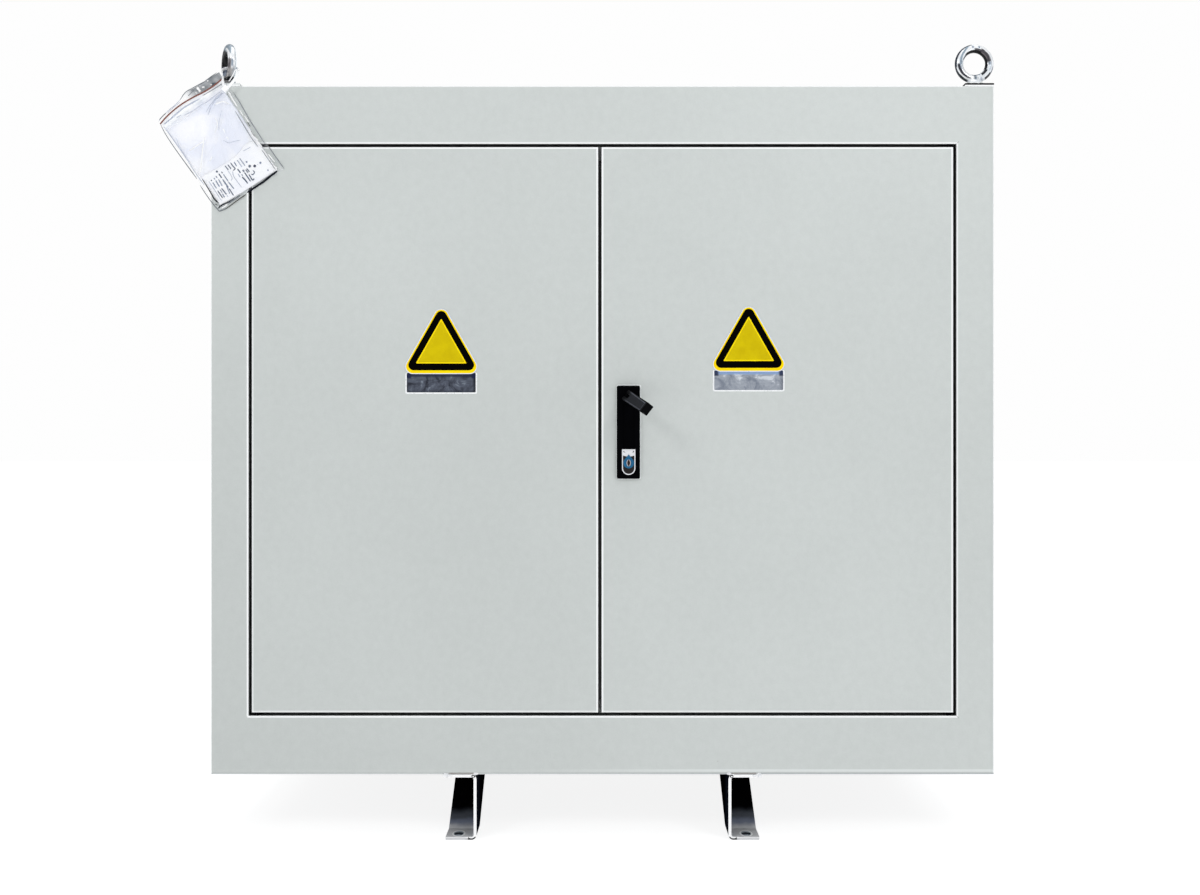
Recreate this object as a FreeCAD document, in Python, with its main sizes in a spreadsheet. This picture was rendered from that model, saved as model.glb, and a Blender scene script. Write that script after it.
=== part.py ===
import FreeCAD, Part
import math
import os
import Sketcher

# Floor-standing dry-type transformer in a two-door steel housing.
# Frame: origin on the floor at the centre of the four anchor holes, +X to the right seen from the
# door side, +Y towards the rear cover, +Z up. Millimetres.

doc = FreeCAD.newDocument("enclosed_transformer")

# ---------------------------------------------------------------------------------------------
# driving dimensions
# ---------------------------------------------------------------------------------------------
SIZES = [
    # housing
    ("body_width", 1200), ("body_depth", 700), ("body_top", 1155), ("body_base", 100),
    ("sheet", 2), ("frame_return", 20), ("roof_return", 50),
    # door opening and doors
    ("opening_half", 542), ("opening_low", 190.5), ("opening_high", 1066),
    ("opening_return", 22), ("lip", 25), ("upstand", 10),
    ("door_gap", 4), ("meeting_x", -4), ("door_depth", 11), ("gasket_width", 11),
    ("gasket_thick", 9.7), ("pivot_x", 531), ("pivot_y", -343), ("pivot_radius", 4),
    ("running_gap", 0.05),
    # centre post
    ("post_left", -24), ("post_right", 14), ("post_depth", 22),
    # feet
    ("foot_web", 193), ("foot_tip", 240.5), ("foot_plate", 4.5), ("foot_low_depth", 50),
    ("foot_top_depth", 215), ("anchor_x", 222), ("anchor_y", 330), ("anchor_radius", 7),
    # lifting eyes
    ("eye_x", 578), ("eye_x_front_right", 575), ("eye_y", 328), ("eye_height", 1194.5),
    ("eye_ring", 23.5),
    ("eye_wire", 6.5), ("eye_turn", 26.5), ("pad_side", 44), ("pad_thick", 4.5),
    # handle
    ("handle_x", 39.6), ("handle_width", 35.5), ("handle_low", 553.2), ("handle_high", 695.7),
    ("handle_thick", 5.5), ("spindle_x", 39), ("spindle_z", 678.4), ("pin_stand", 14.3),
    ("lever_width", 17), ("lever_thick", 12), ("lever_length", 80), ("lever_lift", 65),
    ("lever_turn", 52), ("lock_x", 40), ("lock_z", 577.5),
    ("cam_radius", 15), ("cam_throw", 8.5), ("rod_radius", 4), ("rod_y", -316.2),
    # core and windings
    ("limb_pitch", 300), ("limb_width", 120), ("core_low", 175), ("window_height", 450),
    ("lv_inner", 76), ("lv_outer", 98), ("lv_low", 315), ("lv_high", 715),
    ("hv_inner", 112), ("hv_outer", 135), ("hv_low", 325), ("hv_high", 705),
    ("clamp_half", 450), ("clamp_plate", 5), ("clamp_flange", 45), ("rod_offset", 85),
    ("tie_radius", 8),
    # signs and document bag
    ("sign_width", 109.8), ("sign_strip_width", 110), ("sign_thick", 0.8),
    ("bag_width", 119), ("bag_length", 170), ("bag_thick", 7), ("bag_turn", 36),
]

sheet_obj = doc.addObject("Spreadsheet::Sheet", "sizes")
VALUE = {}
for row, (alias, value) in enumerate(SIZES, start=1):
    sheet_obj.set("A%d" % row, alias)
    sheet_obj.set("B%d" % row, str(value))
    sheet_obj.setAlias("B%d" % row, alias)
    VALUE[alias] = float(value)
doc.recompute()


class Size:
    """A length that knows both its value and the sheet formula that gives it."""

    def __init__(self, value, text):
        self.value = value
        self.text = text

    def _two(self, other, sign, left):
        o = other if isinstance(other, Size) else Size(float(other), "%.9g" % float(other))
        a, b = (self, o) if left else (o, self)
        if sign == "+":
            v = a.value + b.value
        elif sign == "-":
            v = a.value - b.value
        elif sign == "*":
            v = a.value * b.value
        else:
            v = a.value / b.value
        return Size(v, "((%s) %s (%s))" % (a.text, sign, b.text))

    def __add__(self, o): return self._two(o, "+", True)
    def __radd__(self, o): return self._two(o, "+", False)
    def __sub__(self, o): return self._two(o, "-", True)
    def __rsub__(self, o): return self._two(o, "-", False)
    def __mul__(self, o): return self._two(o, "*", True)
    def __rmul__(self, o): return self._two(o, "*", False)
    def __truediv__(self, o): return self._two(o, "/", True)
    def __neg__(self): return self._two(-1, "*", True)


def S(alias):
    return Size(VALUE[alias], "sizes." + alias)


def val(q):
    return q.value if isinstance(q, Size) else float(q)


def bind(obj, prop, q):
    """Sets a property to a number, or binds it to the sheet."""
    if isinstance(q, Size):
        obj.setExpression(prop, q.text)
    elif "." in prop:
        obj.setExpression(prop, "%.9g" % q)
    else:
        setattr(obj, prop, float(q))


def place(obj, x=0, y=0, z=0, rotation=None):
    """Puts an object at a point of the frame, turned as asked, with the point bound to the sheet."""
    obj.Placement = FreeCAD.Placement(
        FreeCAD.Vector(val(x), val(y), val(z)), rotation or FreeCAD.Rotation()
    )
    for axis, q in (("x", x), ("y", y), ("z", z)):
        if isinstance(q, Size):
            obj.setExpression("Placement.Base." + axis, q.text)
    return obj


TO_AXIS = {
    "Z": FreeCAD.Rotation(),
    "X": FreeCAD.Rotation(FreeCAD.Vector(0, 1, 0), 90),
    "Y": FreeCAD.Rotation(FreeCAD.Vector(1, 0, 0), -90),
}


def box(x0, x1, y0, y1, z0, z1):
    o = doc.addObject("Part::Box", "block")
    bind(o, "Length", x1 - x0)
    bind(o, "Width", y1 - y0)
    bind(o, "Height", z1 - z0)
    return place(o, x0, y0, z0)


def cyl(axis, x, y, z, radius, length):
    """A cylinder that starts at x, y, z and runs along +axis."""
    o = doc.addObject("Part::Cylinder", "round")
    bind(o, "Radius", radius)
    bind(o, "Height", length)
    return place(o, x, y, z, TO_AXIS[axis])


def ball(x, y, z, radius):
    o = doc.addObject("Part::Sphere", "ball")
    bind(o, "Radius", radius)
    return place(o, x, y, z)


def hexagon(axis, x, y, z, across, length):
    o = doc.addObject("Part::Prism", "hexagon")
    o.Polygon = 6
    bind(o, "Circumradius", across / math.sqrt(3))
    bind(o, "Height", length)
    return place(o, x, y, z, TO_AXIS[axis])


def fuse(*parts):
    parts = [p for q in parts for p in (q if isinstance(q, list) else [q])]
    if len(parts) == 1:
        return parts[0]
    o = doc.addObject("Part::MultiFuse", "joined")
    o.Shapes = parts
    o.Refine = True
    return o


def cut(base, *tools):
    tools = [p for q in tools for p in (q if isinstance(q, list) else [q])]
    o = doc.addObject("Part::Cut", "trimmed")
    o.Base = base
    o.Tool = tools[0] if len(tools) == 1 else fuse(*tools)
    o.Refine = True
    return o


def group(*parts):
    parts = [p for q in parts for p in (q if isinstance(q, list) else [q])]
    o = doc.addObject("Part::Compound", "set_of_pieces")
    o.Links = parts
    return o


def round_edges(obj, radius, choose):
    """Rounds the edges that choose(edge) accepts."""
    doc.recompute()
    picked = [(i, radius, radius) for i, e in enumerate(obj.Shape.Edges, start=1) if choose(e)]
    if not picked:
        raise RuntimeError("no edge to round on " + obj.Name)
    o = doc.addObject("Part::Fillet", "rounded")
    o.Base = obj
    o.Edges = picked
    return o


def straight(e, axis):
    """True for a straight edge along the axis."""
    if len(e.Vertexes) != 2 or e.Curve.TypeId != "Part::GeomLine":
        return False
    d = e.Vertexes[1].Point - e.Vertexes[0].Point
    d.normalize()
    return abs(abs(d[axis]) - 1) < 1e-6


def near(a, b, slack=0.02):
    return abs(a - b) < slack


PLANES = {"XY": "XY_Plane", "XZ": "XZ_Plane", "YZ": "YZ_Plane"}


def draw(body, plane, offset, loops, circles=()):
    """A sketch of closed polygons and circles, each point and radius a named dimension."""
    sk = body.newObject("Sketcher::SketchObject", "outline")
    home = [f for f in body.Origin.OriginFeatures if f.Role == PLANES[plane]][0]
    sk.AttachmentSupport = [(home, "")]
    sk.MapMode = "FlatFace"
    if isinstance(offset, Size):
        sk.AttachmentOffset = FreeCAD.Placement(
            FreeCAD.Vector(0, 0, offset.value), FreeCAD.Rotation())
        sk.setExpression("AttachmentOffset.Base.z", offset.text)
    else:
        sk.AttachmentOffset = FreeCAD.Placement(
            FreeCAD.Vector(0, 0, float(offset)), FreeCAD.Rotation())

    def pin(geo, point, u, v):
        for kind, q, axis in (("DistanceX", u, -2), ("DistanceY", v, -1)):
            if abs(val(q)) < 1e-9:
                sk.addConstraint(Sketcher.Constraint("PointOnObject", geo, point, axis))
            else:
                c = sk.addConstraint(Sketcher.Constraint(kind, -1, 1, geo, point, val(q)))
                if isinstance(q, Size):
                    sk.setExpression("Constraints[%d]" % c, q.text)

    for loop in loops:
        first = sk.GeometryCount
        n = len(loop)
        pts = [FreeCAD.Vector(val(u), val(v), 0) for u, v in loop]
        for i in range(n):
            sk.addGeometry(Part.LineSegment(pts[i], pts[(i + 1) % n]), False)
        for i in range(n):
            sk.addConstraint(
                Sketcher.Constraint("Coincident", first + i, 2, first + (i + 1) % n, 1))
        for i in range(n):
            pin(first + i, 1, loop[i][0], loop[i][1])
    for u, v, r in circles:
        g = sk.addGeometry(
            Part.Circle(FreeCAD.Vector(val(u), val(v), 0), FreeCAD.Vector(0, 0, 1), val(r)), False)
        pin(g, 3, u, v)
        c = sk.addConstraint(Sketcher.Constraint("Radius", g, val(r)))
        if isinstance(r, Size):
            sk.setExpression("Constraints[%d]" % c, r.text)
    return sk


def plate(plane, loops, lo, hi, circles=()):
    """A body padded from a sketch: in XZ it runs in Y from lo to hi, in XY in Z, in YZ in X."""
    body = doc.addObject("PartDesign::Body", "plate")
    sk = draw(body, plane, -hi if plane == "XZ" else lo, loops, circles)
    pad = body.newObject("PartDesign::Pad", "pad")
    pad.Profile = sk
    bind(pad, "Length", hi - lo)
    sk.Visibility = False
    return body


def turned(loop, x=0, y=0, z=0, rotation=None):
    """A body turned about its own Z axis from a half outline given as radius and height."""
    body = doc.addObject("PartDesign::Body", "turned")
    sk = draw(body, "XZ", 0, [loop])
    rev = body.newObject("PartDesign::Revolution", "turn")
    rev.Profile = sk
    rev.ReferenceAxis = (sk, ["V_Axis"])
    rev.Angle = 360
    place(body, x, y, z, rotation)
    return body


def rect(u0, u1, v0, v1):
    return [(u0, v0), (u1, v0), (u1, v1), (u0, v1)]


PIECES = []


def piece(name, obj):
    obj.Label = name
    PIECES.append((name, obj))
    return obj


half_w = S("body_width") / 2
front = -(S("body_depth") / 2)
rear = S("body_depth") / 2
top = S("body_top")
base = S("body_base")
t = S("sheet")
ox = S("opening_half")
oz0 = S("opening_low")
oz1 = S("opening_high")
px = S("pivot_x")
py = S("pivot_y")
pr = S("pivot_radius")
fit = S("running_gap")
lip = S("lip")
back_of_return = front + S("opening_return")


def eye_at(sx, sy):
    """X of a lifting eye; the front right one sits a little further in."""
    return S("eye_x_front_right") if sx > 0 and sy < 0 else S("eye_x") * sx


# ---------------------------------------------------------------------------------------------
# housing
# ---------------------------------------------------------------------------------------------
def ring(x0, x1, z0, z1, wall, y0, y1):
    """A rectangular hoop in the XZ plane, measured to its outside."""
    return plate("XZ", [rect(x0, x1, z0, z1),
                        rect(x0 + wall, x1 - wall, z0 + wall, z1 - wall)], y0, y1)


# front frame: one folded and welded sheet, with the outer returns, the returns of the door
# opening, the lip behind the doors and the upstand that meets their gaskets
face = plate("XZ", [rect(-half_w, half_w, base, top), rect(-ox, ox, oz0, oz1)], front, front + t)
outer = ring(-half_w, half_w, base, top, t, front, front + S("frame_return"))
roof_edge = box(-half_w, half_w, front + t, front + S("roof_return"), top - t, top)
inner = ring(-ox - t, ox + t, oz0 - t, oz1 + t, t, front, back_of_return + t)
lips = ring(-ox - t, ox + t, oz0 - t, oz1 + t, lip + t, back_of_return, back_of_return + t)
rim = ring(-ox + lip - t, ox - lip + t, oz0 + lip - t, oz1 - lip + t, t,
           back_of_return - S("upstand"), back_of_return + t)
bosses = []
for s in (-1, 1):
    for z in (oz1 + t, oz0 - t - 5):
        bosses.append(box(px * s - 12, px * s + 12, front + t, front + t + 16, z, z + 5))
# blocks welded behind the lip, which the latch rods and the left door's bolts pass when shut
rod_up_x = S("spindle_x") - S("cam_throw")
rod_dn_x = S("spindle_x") + S("cam_throw")
rod_y = S("rod_y")
rr = S("rod_radius")
bolt_x = -60
keeper_y0 = back_of_return + t - 0.5
keepers = []
for x, r in ((rod_up_x, 0), (bolt_x, 1)):
    keepers.append(box(x - 9, x + 9, keeper_y0, rod_y - rr - 0.8 - r, oz1 - lip, oz1 - 6))
for x, r in ((rod_dn_x, 0), (bolt_x, 1)):
    keepers.append(box(x - 9, x + 9, keeper_y0, rod_y - rr - 0.8 - r, oz0 + 6, oz0 + lip))
frame = fuse(face, outer, roof_edge, inner, lips, rim, *(bosses + keepers))
frame = cut(
    frame,
    [cyl("Z", px * s, py, oz0 - 20, pr + fit, oz1 - oz0 + 40) for s in (-1, 1)],
    [cyl("Z", eye_at(s, -1), -S("eye_y"), top - 10, 8.5, 20) for s in (-1, 1)],
)
w2, w1 = val(half_w), val(ox)
frame = round_edges(
    frame, 1.9,
    lambda e: near(e.BoundBox.YMax, val(front)) and (
        (straight(e, 2) and e.Length > 500) or (straight(e, 0) and e.Length > 500)))
piece("front_frame", frame)

# centre post: folded channel between the two doors, held by a tab behind the lip at each end
post_front = back_of_return - S("upstand")
pl, pq = S("post_left"), S("post_right")
post = cut(
    box(pl, pq, post_front, post_front + S("post_depth"), oz0 + lip, oz1 - lip),
    box(pl + t, pq - t, post_front + t, post_front + S("post_depth") + 1, oz0 + lip - 1,
        oz1 - lip + 1),
)
post = fuse(post,
            box(pl, pq, back_of_return + t, back_of_return + t * 2, oz1 - lip - 20, oz1 - 6),
            box(pl, pq, back_of_return + t, back_of_return + t * 2, oz0 + 6, oz0 + lip + 20))
piece("centre_post", post)

# side panels with punched vents low and high, a front flange and a rear flange
for name, s in (("side_panel_left", -1), ("side_panel_right", 1)):
    x0, x1 = (-half_w, -half_w + t) if s < 0 else (half_w - t, half_w)
    body = doc.addObject("PartDesign::Body", "side")
    sk = draw(body, "YZ", x0, [rect(front + S("frame_return"), rear, base + t, top - t)])
    pad = body.newObject("PartDesign::Pad", "skin")
    pad.Profile = sk
    bind(pad, "Length", t)
    doc.recompute()
    vents = [rect(y, y + 150, z, z + 8) for y in (-190, 40) for z in (150, 860)]
    sv = draw(body, "YZ", x0 - 1, vents)
    pocket = body.newObject("PartDesign::Pocket", "vent")
    pocket.Profile = sv
    pocket.Length = 10
    pocket.Reversed = True
    pocket.Midplane = False
    doc.recompute()
    row = body.newObject("PartDesign::LinearPattern", "vent_rows")
    row.Originals = [pocket]
    row.Direction = (sk, ["V_Axis"])
    row.Length = 175
    row.Occurrences = 8
    body.Tip = row
    doc.recompute()
    fx = (x1, x1 + 20) if s < 0 else (x0 - 20, x0)
    side = fuse(
        body,
        box(fx[0], fx[1], front + S("frame_return"), front + S("frame_return") + t, base + 10,
            top - 60),
        cut(box(fx[0], fx[1], rear - t, rear, base + t, top - t),
            [cyl("Y", (half_w - 12) * s, rear - 20, z, 3, 30) for z in (160, 390, 627, 865, 1095)]),
    )
    piece(name, side)

# roof panel with side and rear flanges turned down
roof_front = front + S("roof_return")
roof = fuse(
    box(-half_w, half_w, roof_front, rear, top - t, top),
    box(-half_w + t, -half_w + t * 2, roof_front, rear - t, top - t - 20, top - t),
    box(half_w - t * 2, half_w - t, roof_front, rear - t, top - t - 20, top - t),
    box(-half_w + 24, half_w - 24, rear - t, rear, top - t - 24, top - t),
)
roof = cut(roof,
           [cyl("Z", eye_at(s, 1), S("eye_y"), top - 10, 8.5, 20) for s in (-1, 1)],
           [cyl("Y", x, rear - 20, top - 14, 3, 30) for x in (-440, -147, 147, 440)])
piece("roof_panel", roof)

# floor plate with the cable opening and a rear flange turned up
floor = fuse(
    box(-half_w, half_w, front + S("frame_return"), rear, base, base + t),
    box(-half_w + 24, half_w - 24, rear - t, rear, base + t, base + t + 24),
)
floor = cut(floor,
            box(-140, 140, 195, 285, base - 5, base + t + 5),
            [cyl("Y", x, rear - 20, base + 14, 3, 30) for x in (-440, -147, 147, 440)],
            [cyl("Z", x, y, base - 10, 3, 30) for x in (-150, 150) for y in (188, 292)],
            [cyl("Z", -330, 262, base - 10, 6.5, 30)])
piece("floor_plate", floor)

# rear cover: sheet with three columns of pressed louvres, low and high
cover_w = half_w - 6
hoods, scoops = [], []
for x in (-380, 0, 380):
    for z0 in (180, 830):
        for i in range(8):
            z = z0 + 28 * i
            for out, wid, lo_z, hi_z, tip_z, y0, y1 in (
                    (hoods, 100, 0, 14, 3, rear + t - 0.5, rear + t + 9),
                    (scoops, 98.5, -1, 12, 1.6, rear - 1, rear + t + 7.6)):
                w = doc.addObject("Part::Wedge", "louvre")
                w.Xmin, w.Xmax, w.X2min, w.X2max = -wid, wid, -wid, wid
                w.Zmin, w.Zmax, w.Z2min, w.Z2max = lo_z, hi_z, lo_z, tip_z
                w.Ymin = 0
                bind(w, "Ymax", y1 - y0)
                place(w, x, y0, z)
                out.append(w)
cover = fuse(box(-cover_w, cover_w, rear, rear + t, base + 6, top - 6), hoods)
cover = cut(cover, scoops)
screw_spots = [((half_w - 12) * s, z) for s in (-1, 1) for z in (160, 390, 627, 865, 1095)]
screw_spots += [(x, z) for x in (-440, -147, 147, 440) for z in (top - 14, base + 14)]
cover = cut(cover, [cyl("Y", x, rear - 5, z, 3, 15) for x, z in screw_spots])
piece("rear_cover", cover)

# gland plate under the floor opening, with three closed rubber grommets
gland = plate("XY", [rect(-162, 162, 178, 302)], base - t, base,
              [(x, 240, 30) for x in (-90, 0, 90)]
              + [(x, y, 3) for x in (-150, 150) for y in (188, 292)])
piece("gland_plate", gland)
piece("cable_grommets", group([
    turned([(0, -3), (22, -3), (25, -10), (30, -10), (36, -7), (36, -2), (30, -2), (30, 0),
            (36, 0), (36, 4), (28, 6), (24, 1), (0, 1)], x, 240, base)
    for x in (-90, 0, 90)]))

# housing screws: domed heads on the rear cover and under the gland plate
screws = []
for x, z in screw_spots:
    screws.append(fuse(cyl("Y", x, rear + t - 12, z, 3, 12), round_edges(
        cyl("Y", x, rear + t, z, 6.5, 3.6), 2, lambda e: near(e.BoundBox.YMin, e.BoundBox.YMax)
        and e.BoundBox.YMin > val(rear) + 4)))
for x in (-150, 150):
    for y in (188, 292):
        screws.append(fuse(cyl("Z", x, y, base - t, 3, 12), cyl("Z", x, y, base - t - 3.6, 6.5, 3.6)))
piece("panel_screws", group(screws))

# ---------------------------------------------------------------------------------------------
# feet: plate bent to a channel, rear edge sloped, closed by a welded sloping rib
# ---------------------------------------------------------------------------------------------
fp = S("foot_plate")
for name, sx, sy in (("foot_front_left", -1, -1), ("foot_front_right", 1, -1),
                     ("foot_rear_left", -1, 1), ("foot_rear_right", 1, 1)):
    web, tip = S("foot_web") * sx, S("foot_tip") * sx
    inw = (S("foot_web") + fp) * sx
    y_out = rear * sy
    y_top = (rear - S("foot_top_depth")) * sy
    lo, hi = (y_out, y_top) if sy < 0 else (y_top, y_out)
    channel = plate("XZ", [[(tip, 0), (web, 0), (web, base), (tip, base), (tip, base - fp),
                            (inw, base - fp), (inw, fp), (tip, fp)]], lo, hi)
    vw, vi = val(web), val(inw)
    channel = round_edges(channel, 7.9, lambda e: straight(e, 1) and near(e.BoundBox.XMin, vw))
    channel = round_edges(channel, 3.4, lambda e: straight(e, 1) and near(e.BoundBox.XMin, vi))
    y_low = (rear - S("foot_low_depth")) * sy
    x0, x1 = (tip - 5, web + 5) if sx < 0 else (web - 5, tip + 5)
    wedge = plate("YZ", [[(y_low, -5), (y_low, 0), (y_top, base - fp), (y_top - 20 * sy, base - fp),
                          (y_top - 20 * sy, -5)]], x0, x1)
    x0, x1 = (tip, inw - 0.5) if sx < 0 else (inw + 0.5, tip)
    rib = plate("YZ", [[(y_low, 0), (y_top, base - fp), (y_top + 7 * sy, base - fp),
                        (y_low + 7 * sy, 0)]], x0, x1)
    rib = plate("YZ", [[(y_low, 1), (y_top, base - fp - 0.5), (y_top + 7 * sy, base - fp - 0.5),
                        (y_low + 7 * sy, 1)]], x0 if sx < 0 else inw - 1, inw + 1 if sx < 0 else x1)
    foot = cut(channel, wedge)
    foot = fuse(foot, rib,
                ball(tip, y_out, base - 3, 3), ball((S("foot_web") + 5) * sx, y_out, base - 2.6, 2.6))
    foot = cut(foot, cyl("Z", S("anchor_x") * sx, S("anchor_y") * sy, -5, S("anchor_radius"), 25))
    piece(name, foot)

# ---------------------------------------------------------------------------------------------
# lifting eyes
# ---------------------------------------------------------------------------------------------
def eye_bolt(sx, sy, turn):
    """Ring, collar and threaded shank; turn is the angle of the ring about Z from facing front."""
    o = doc.addObject("Part::Torus", "eye_ring")
    bind(o, "Radius1", S("eye_ring"))
    bind(o, "Radius2", S("eye_wire"))
    rot = FreeCAD.Rotation(FreeCAD.Vector(0, 0, 1), turn) * TO_AXIS["Y"]
    place(o, eye_at(sx, sy), S("eye_y") * sy, S("eye_height"), rot)
    stem = turned([(0, -34), (8, -34), (8, 0), (16, 0), (16, 3), (11, 5.5), (9, 9.5), (8.5, 14),
                   (0, 14)],
                  eye_at(sx, sy), S("eye_y") * sy, top + S("pad_thick"))
    return fuse(o, stem)


piece("front_eye_bolts", group(eye_bolt(-1, -1, -(90 - VALUE["eye_turn"])), eye_bolt(1, -1, 0)))
piece("rear_eye_bolts", group(eye_bolt(-1, 1, 0), eye_bolt(1, 1, 0)))
pads = []
for sx in (-1, 1):
    for sy in (-1, 1):
        x0, x1 = (-half_w, -half_w + S("pad_side")) if sx < 0 else (half_w - S("pad_side"), half_w)
        y0, y1 = (front, front + S("pad_side")) if sy < 0 else (rear - S("pad_side"), rear)
        pads.append(cut(box(x0, x1, y0, y1, top, top + S("pad_thick")),
                        cyl("Z", eye_at(sx, sy), S("eye_y") * sy, top - 5, 8, 20)))
piece("eye_bolt_pads", group(pads))

# ---------------------------------------------------------------------------------------------
# doors: folded pans with stiffeners, pivot blocks, rod and bolt guides
# ---------------------------------------------------------------------------------------------
gap = S("door_gap")
dz0, dz1 = oz0 + gap, oz1 - gap
pan_back = front + S("door_depth")
skin_back = front + t
DOORS = {
    "right": (S("meeting_x") + gap / 2, ox - gap, 1),
    "left": (-ox + gap, S("meeting_x") - gap / 2, -1),
}
for side, (x0, x1, s) in DOORS.items():
    body = doc.addObject("PartDesign::Body", "pan")
    sk = draw(body, "XZ", -pan_back, [rect(x0, x1, dz0, dz1)])
    pad = body.newObject("PartDesign::Pad", "block")
    pad.Profile = sk
    bind(pad, "Length", pan_back - front)
    doc.recompute()
    edges = ["Edge%d" % i for i, e in enumerate(pad.Shape.Edges, start=1)
             if near(e.BoundBox.YMax, val(front))]
    corners = ["Edge%d" % i for i, e in enumerate(pad.Shape.Edges, start=1) if straight(e, 1)]
    fil = body.newObject("PartDesign::Fillet", "bent_edges")
    fil.Base = (pad, edges)
    fil.Radius = 1.9
    doc.recompute()
    sp = draw(body, "XZ", -pan_back, [rect(x0 + t, x1 - t, dz0 + t, dz1 - t)])
    pocket = body.newObject("PartDesign::Pocket", "hollow")
    pocket.Profile = sp
    bind(pocket, "Length", pan_back - skin_back)
    pocket.Reversed = True
    body.Tip = pocket
    doc.recompute()
    extra, holes = [], []
    for xs in ((180, 400) if s > 0 else (-400, -180)):
        extra.append(cut(box(xs - 20, xs + 20, skin_back - 0.5, skin_back + 12, 240, 1016),
                         box(xs - 18.5, xs + 18.5, skin_back, skin_back + 10.5, 239, 1017)))
    bx0, bx1 = (px - 7, px + 5) if s > 0 else (-px - 5, -px + 7)
    extra.append(box(bx0, bx1, skin_back - 0.5, skin_back + 12, dz1 - 22, dz1))
    extra.append(box(bx0, bx1, skin_back - 0.5, skin_back + 12, dz0, dz0 + 22))
    holes.append(cyl("Z", px * s, py, dz1 - 14, pr, 20))
    holes.append(cyl("Z", px * s, py, dz0 - 6, pr, 20))
    if s > 0:
        for xr, zs in ((rod_up_x, (760, 1016)), (rod_dn_x, (596, 236))):
            for z in zs:
                extra.append(box(xr - 8, xr + 8, skin_back - 0.5, rod_y + 8, z, z + 4))
                holes.append(cyl("Z", xr, rod_y, z - 1, rr + fit, 6))
        holes.append(cyl("Y", S("spindle_x"), front - 5, S("spindle_z"), 9, 15))
        holes.append(cyl("Y", S("lock_x"), front - 5, S("lock_z"), 9, 15))
    else:
        for z in (966, 1012, 240, 286):
            extra.append(box(bolt_x - 9, bolt_x + 9, skin_back - 0.5, rod_y + 9, z, z + 4))
            holes.append(cyl("Z", bolt_x, rod_y, z - 1, 5 + fit, 6))
    piece(side + "_door", cut(fuse(body, extra), holes))
    # foam gasket on the inside of the door
    gw = S("gasket_width")
    if s > 0:
        g0, g1 = x0 + 4, ox - lip + 6
    else:
        g0, g1 = -ox + lip - 6, x1 - 4
    gasket = ring(g0, g1, oz0 + lip - 7, oz1 - lip + 7, gw, skin_back, skin_back + S("gasket_thick"))
    piece(side + "_door_gasket", gasket)
    piece(side + "_hinge_pins", group(
        cyl("Z", px * s, py, dz1 - 14, pr, 26), cyl("Z", px * s, py, dz0 - 12, pr, 26)))

# hinge washers in the gap above and below each door
washers = []
for s in (-1, 1):
    for z in (oz0, oz1 - gap + 0.15):
        washers.append(cut(cyl("Z", px * s, py, z, 6.5, gap - 0.15),
                           cyl("Z", px * s, py, z - 1, pr + fit, gap + 2)))
piece("hinge_washers", group(washers))

# bolts of the left door
for name, z0, z1, zk in (("left_upper_bolt", 956, 1038, 991), ("left_lower_bolt", 218.5, 300, 265)):
    piece(name, fuse(cyl("Z", bolt_x, rod_y, z0, 5, z1 - z0),
                     cyl("Y", bolt_x, rod_y, zk, 3, 20), cyl("Y", bolt_x, rod_y + 16, zk, 5, 5)))

# ---------------------------------------------------------------------------------------------
# swing handle, lock, cam and rods
# ---------------------------------------------------------------------------------------------
hx, hw = S("handle_x"), S("handle_width") / 2
hz0, hz1 = S("handle_low"), S("handle_high")
sx_, sz_ = S("spindle_x"), S("spindle_z")
h_front = front - S("handle_thick")
panel = plate("XZ", [rect(hx - hw, hx + hw, hz0, hz1)], h_front, front)
panel = round_edges(panel, 2.4, lambda e: straight(e, 1))
panel = round_edges(panel, 1.0, lambda e: near(e.BoundBox.YMax, val(h_front)))
panel = fuse(panel, cyl("Y", sx_, front - 1, sz_, 9, 14))
panel = cut(panel,
            box(31.5, 49, h_front - 1, h_front + 2, 599.5, 668.5),
            cyl("Y", sx_, h_front - 1, sz_, 10.5 + fit, 5),
            cyl("Y", sx_, h_front - 1, sz_, 6 + fit, 40),
            cyl("Y", S("lock_x"), h_front - 1, S("lock_z"), 9, 15))
piece("handle_base", panel)

# directions of the folded lever, its cross pin and its outer face
a = math.radians(VALUE["lever_turn"])
b = math.radians(VALUE["lever_lift"])
along = FreeCAD.Vector(math.sin(a), 0, -math.cos(a))
across = FreeCAD.Vector(math.cos(a), 0, math.sin(a))
out = FreeCAD.Vector(0, -1, 0)
turn_folded = FreeCAD.Rotation(along, across, out, "XYZ")
lifted = along * math.cos(b) + out * math.sin(b)
turn_lifted = FreeCAD.Rotation(lifted, across, lifted.cross(across), "XYZ")
pin_y = front - S("pin_stand")


def on_pin(obj, rotation):
    return place(obj, sx_, pin_y, sz_, rotation)


# boss with the tongue that carries the lever's pin; its spindle runs through the door to the cam
boss = fuse(
    cyl("Z", 0, 0, -12.8, 10.5, 6.5),
    cyl("Z", 0, 0, -46.3, 6, 35),
    box(-5, 5, -3, 3, -8, 0),
    cyl("Y", 0, -3, 0, 5, 6),
)
boss = cut(boss, cyl("Y", 0, -10, 0, 2 + fit, 20))
piece("handle_boss", on_pin(group(boss), turn_folded))

cam_front = rod_y - 5.8
cam = cut(fuse(cyl("Y", sx_, cam_front, sz_, S("cam_radius"), 4),
               cyl("Y", rod_up_x, cam_front + 2, sz_ - 1.04, 3, 6),
               cyl("Y", rod_dn_x, cam_front + 2, sz_ + 1.04, 3, 6)),
          cyl("Y", sx_, cam_front - 1, sz_, 6, 10))
piece("latch_cam", cam)

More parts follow.
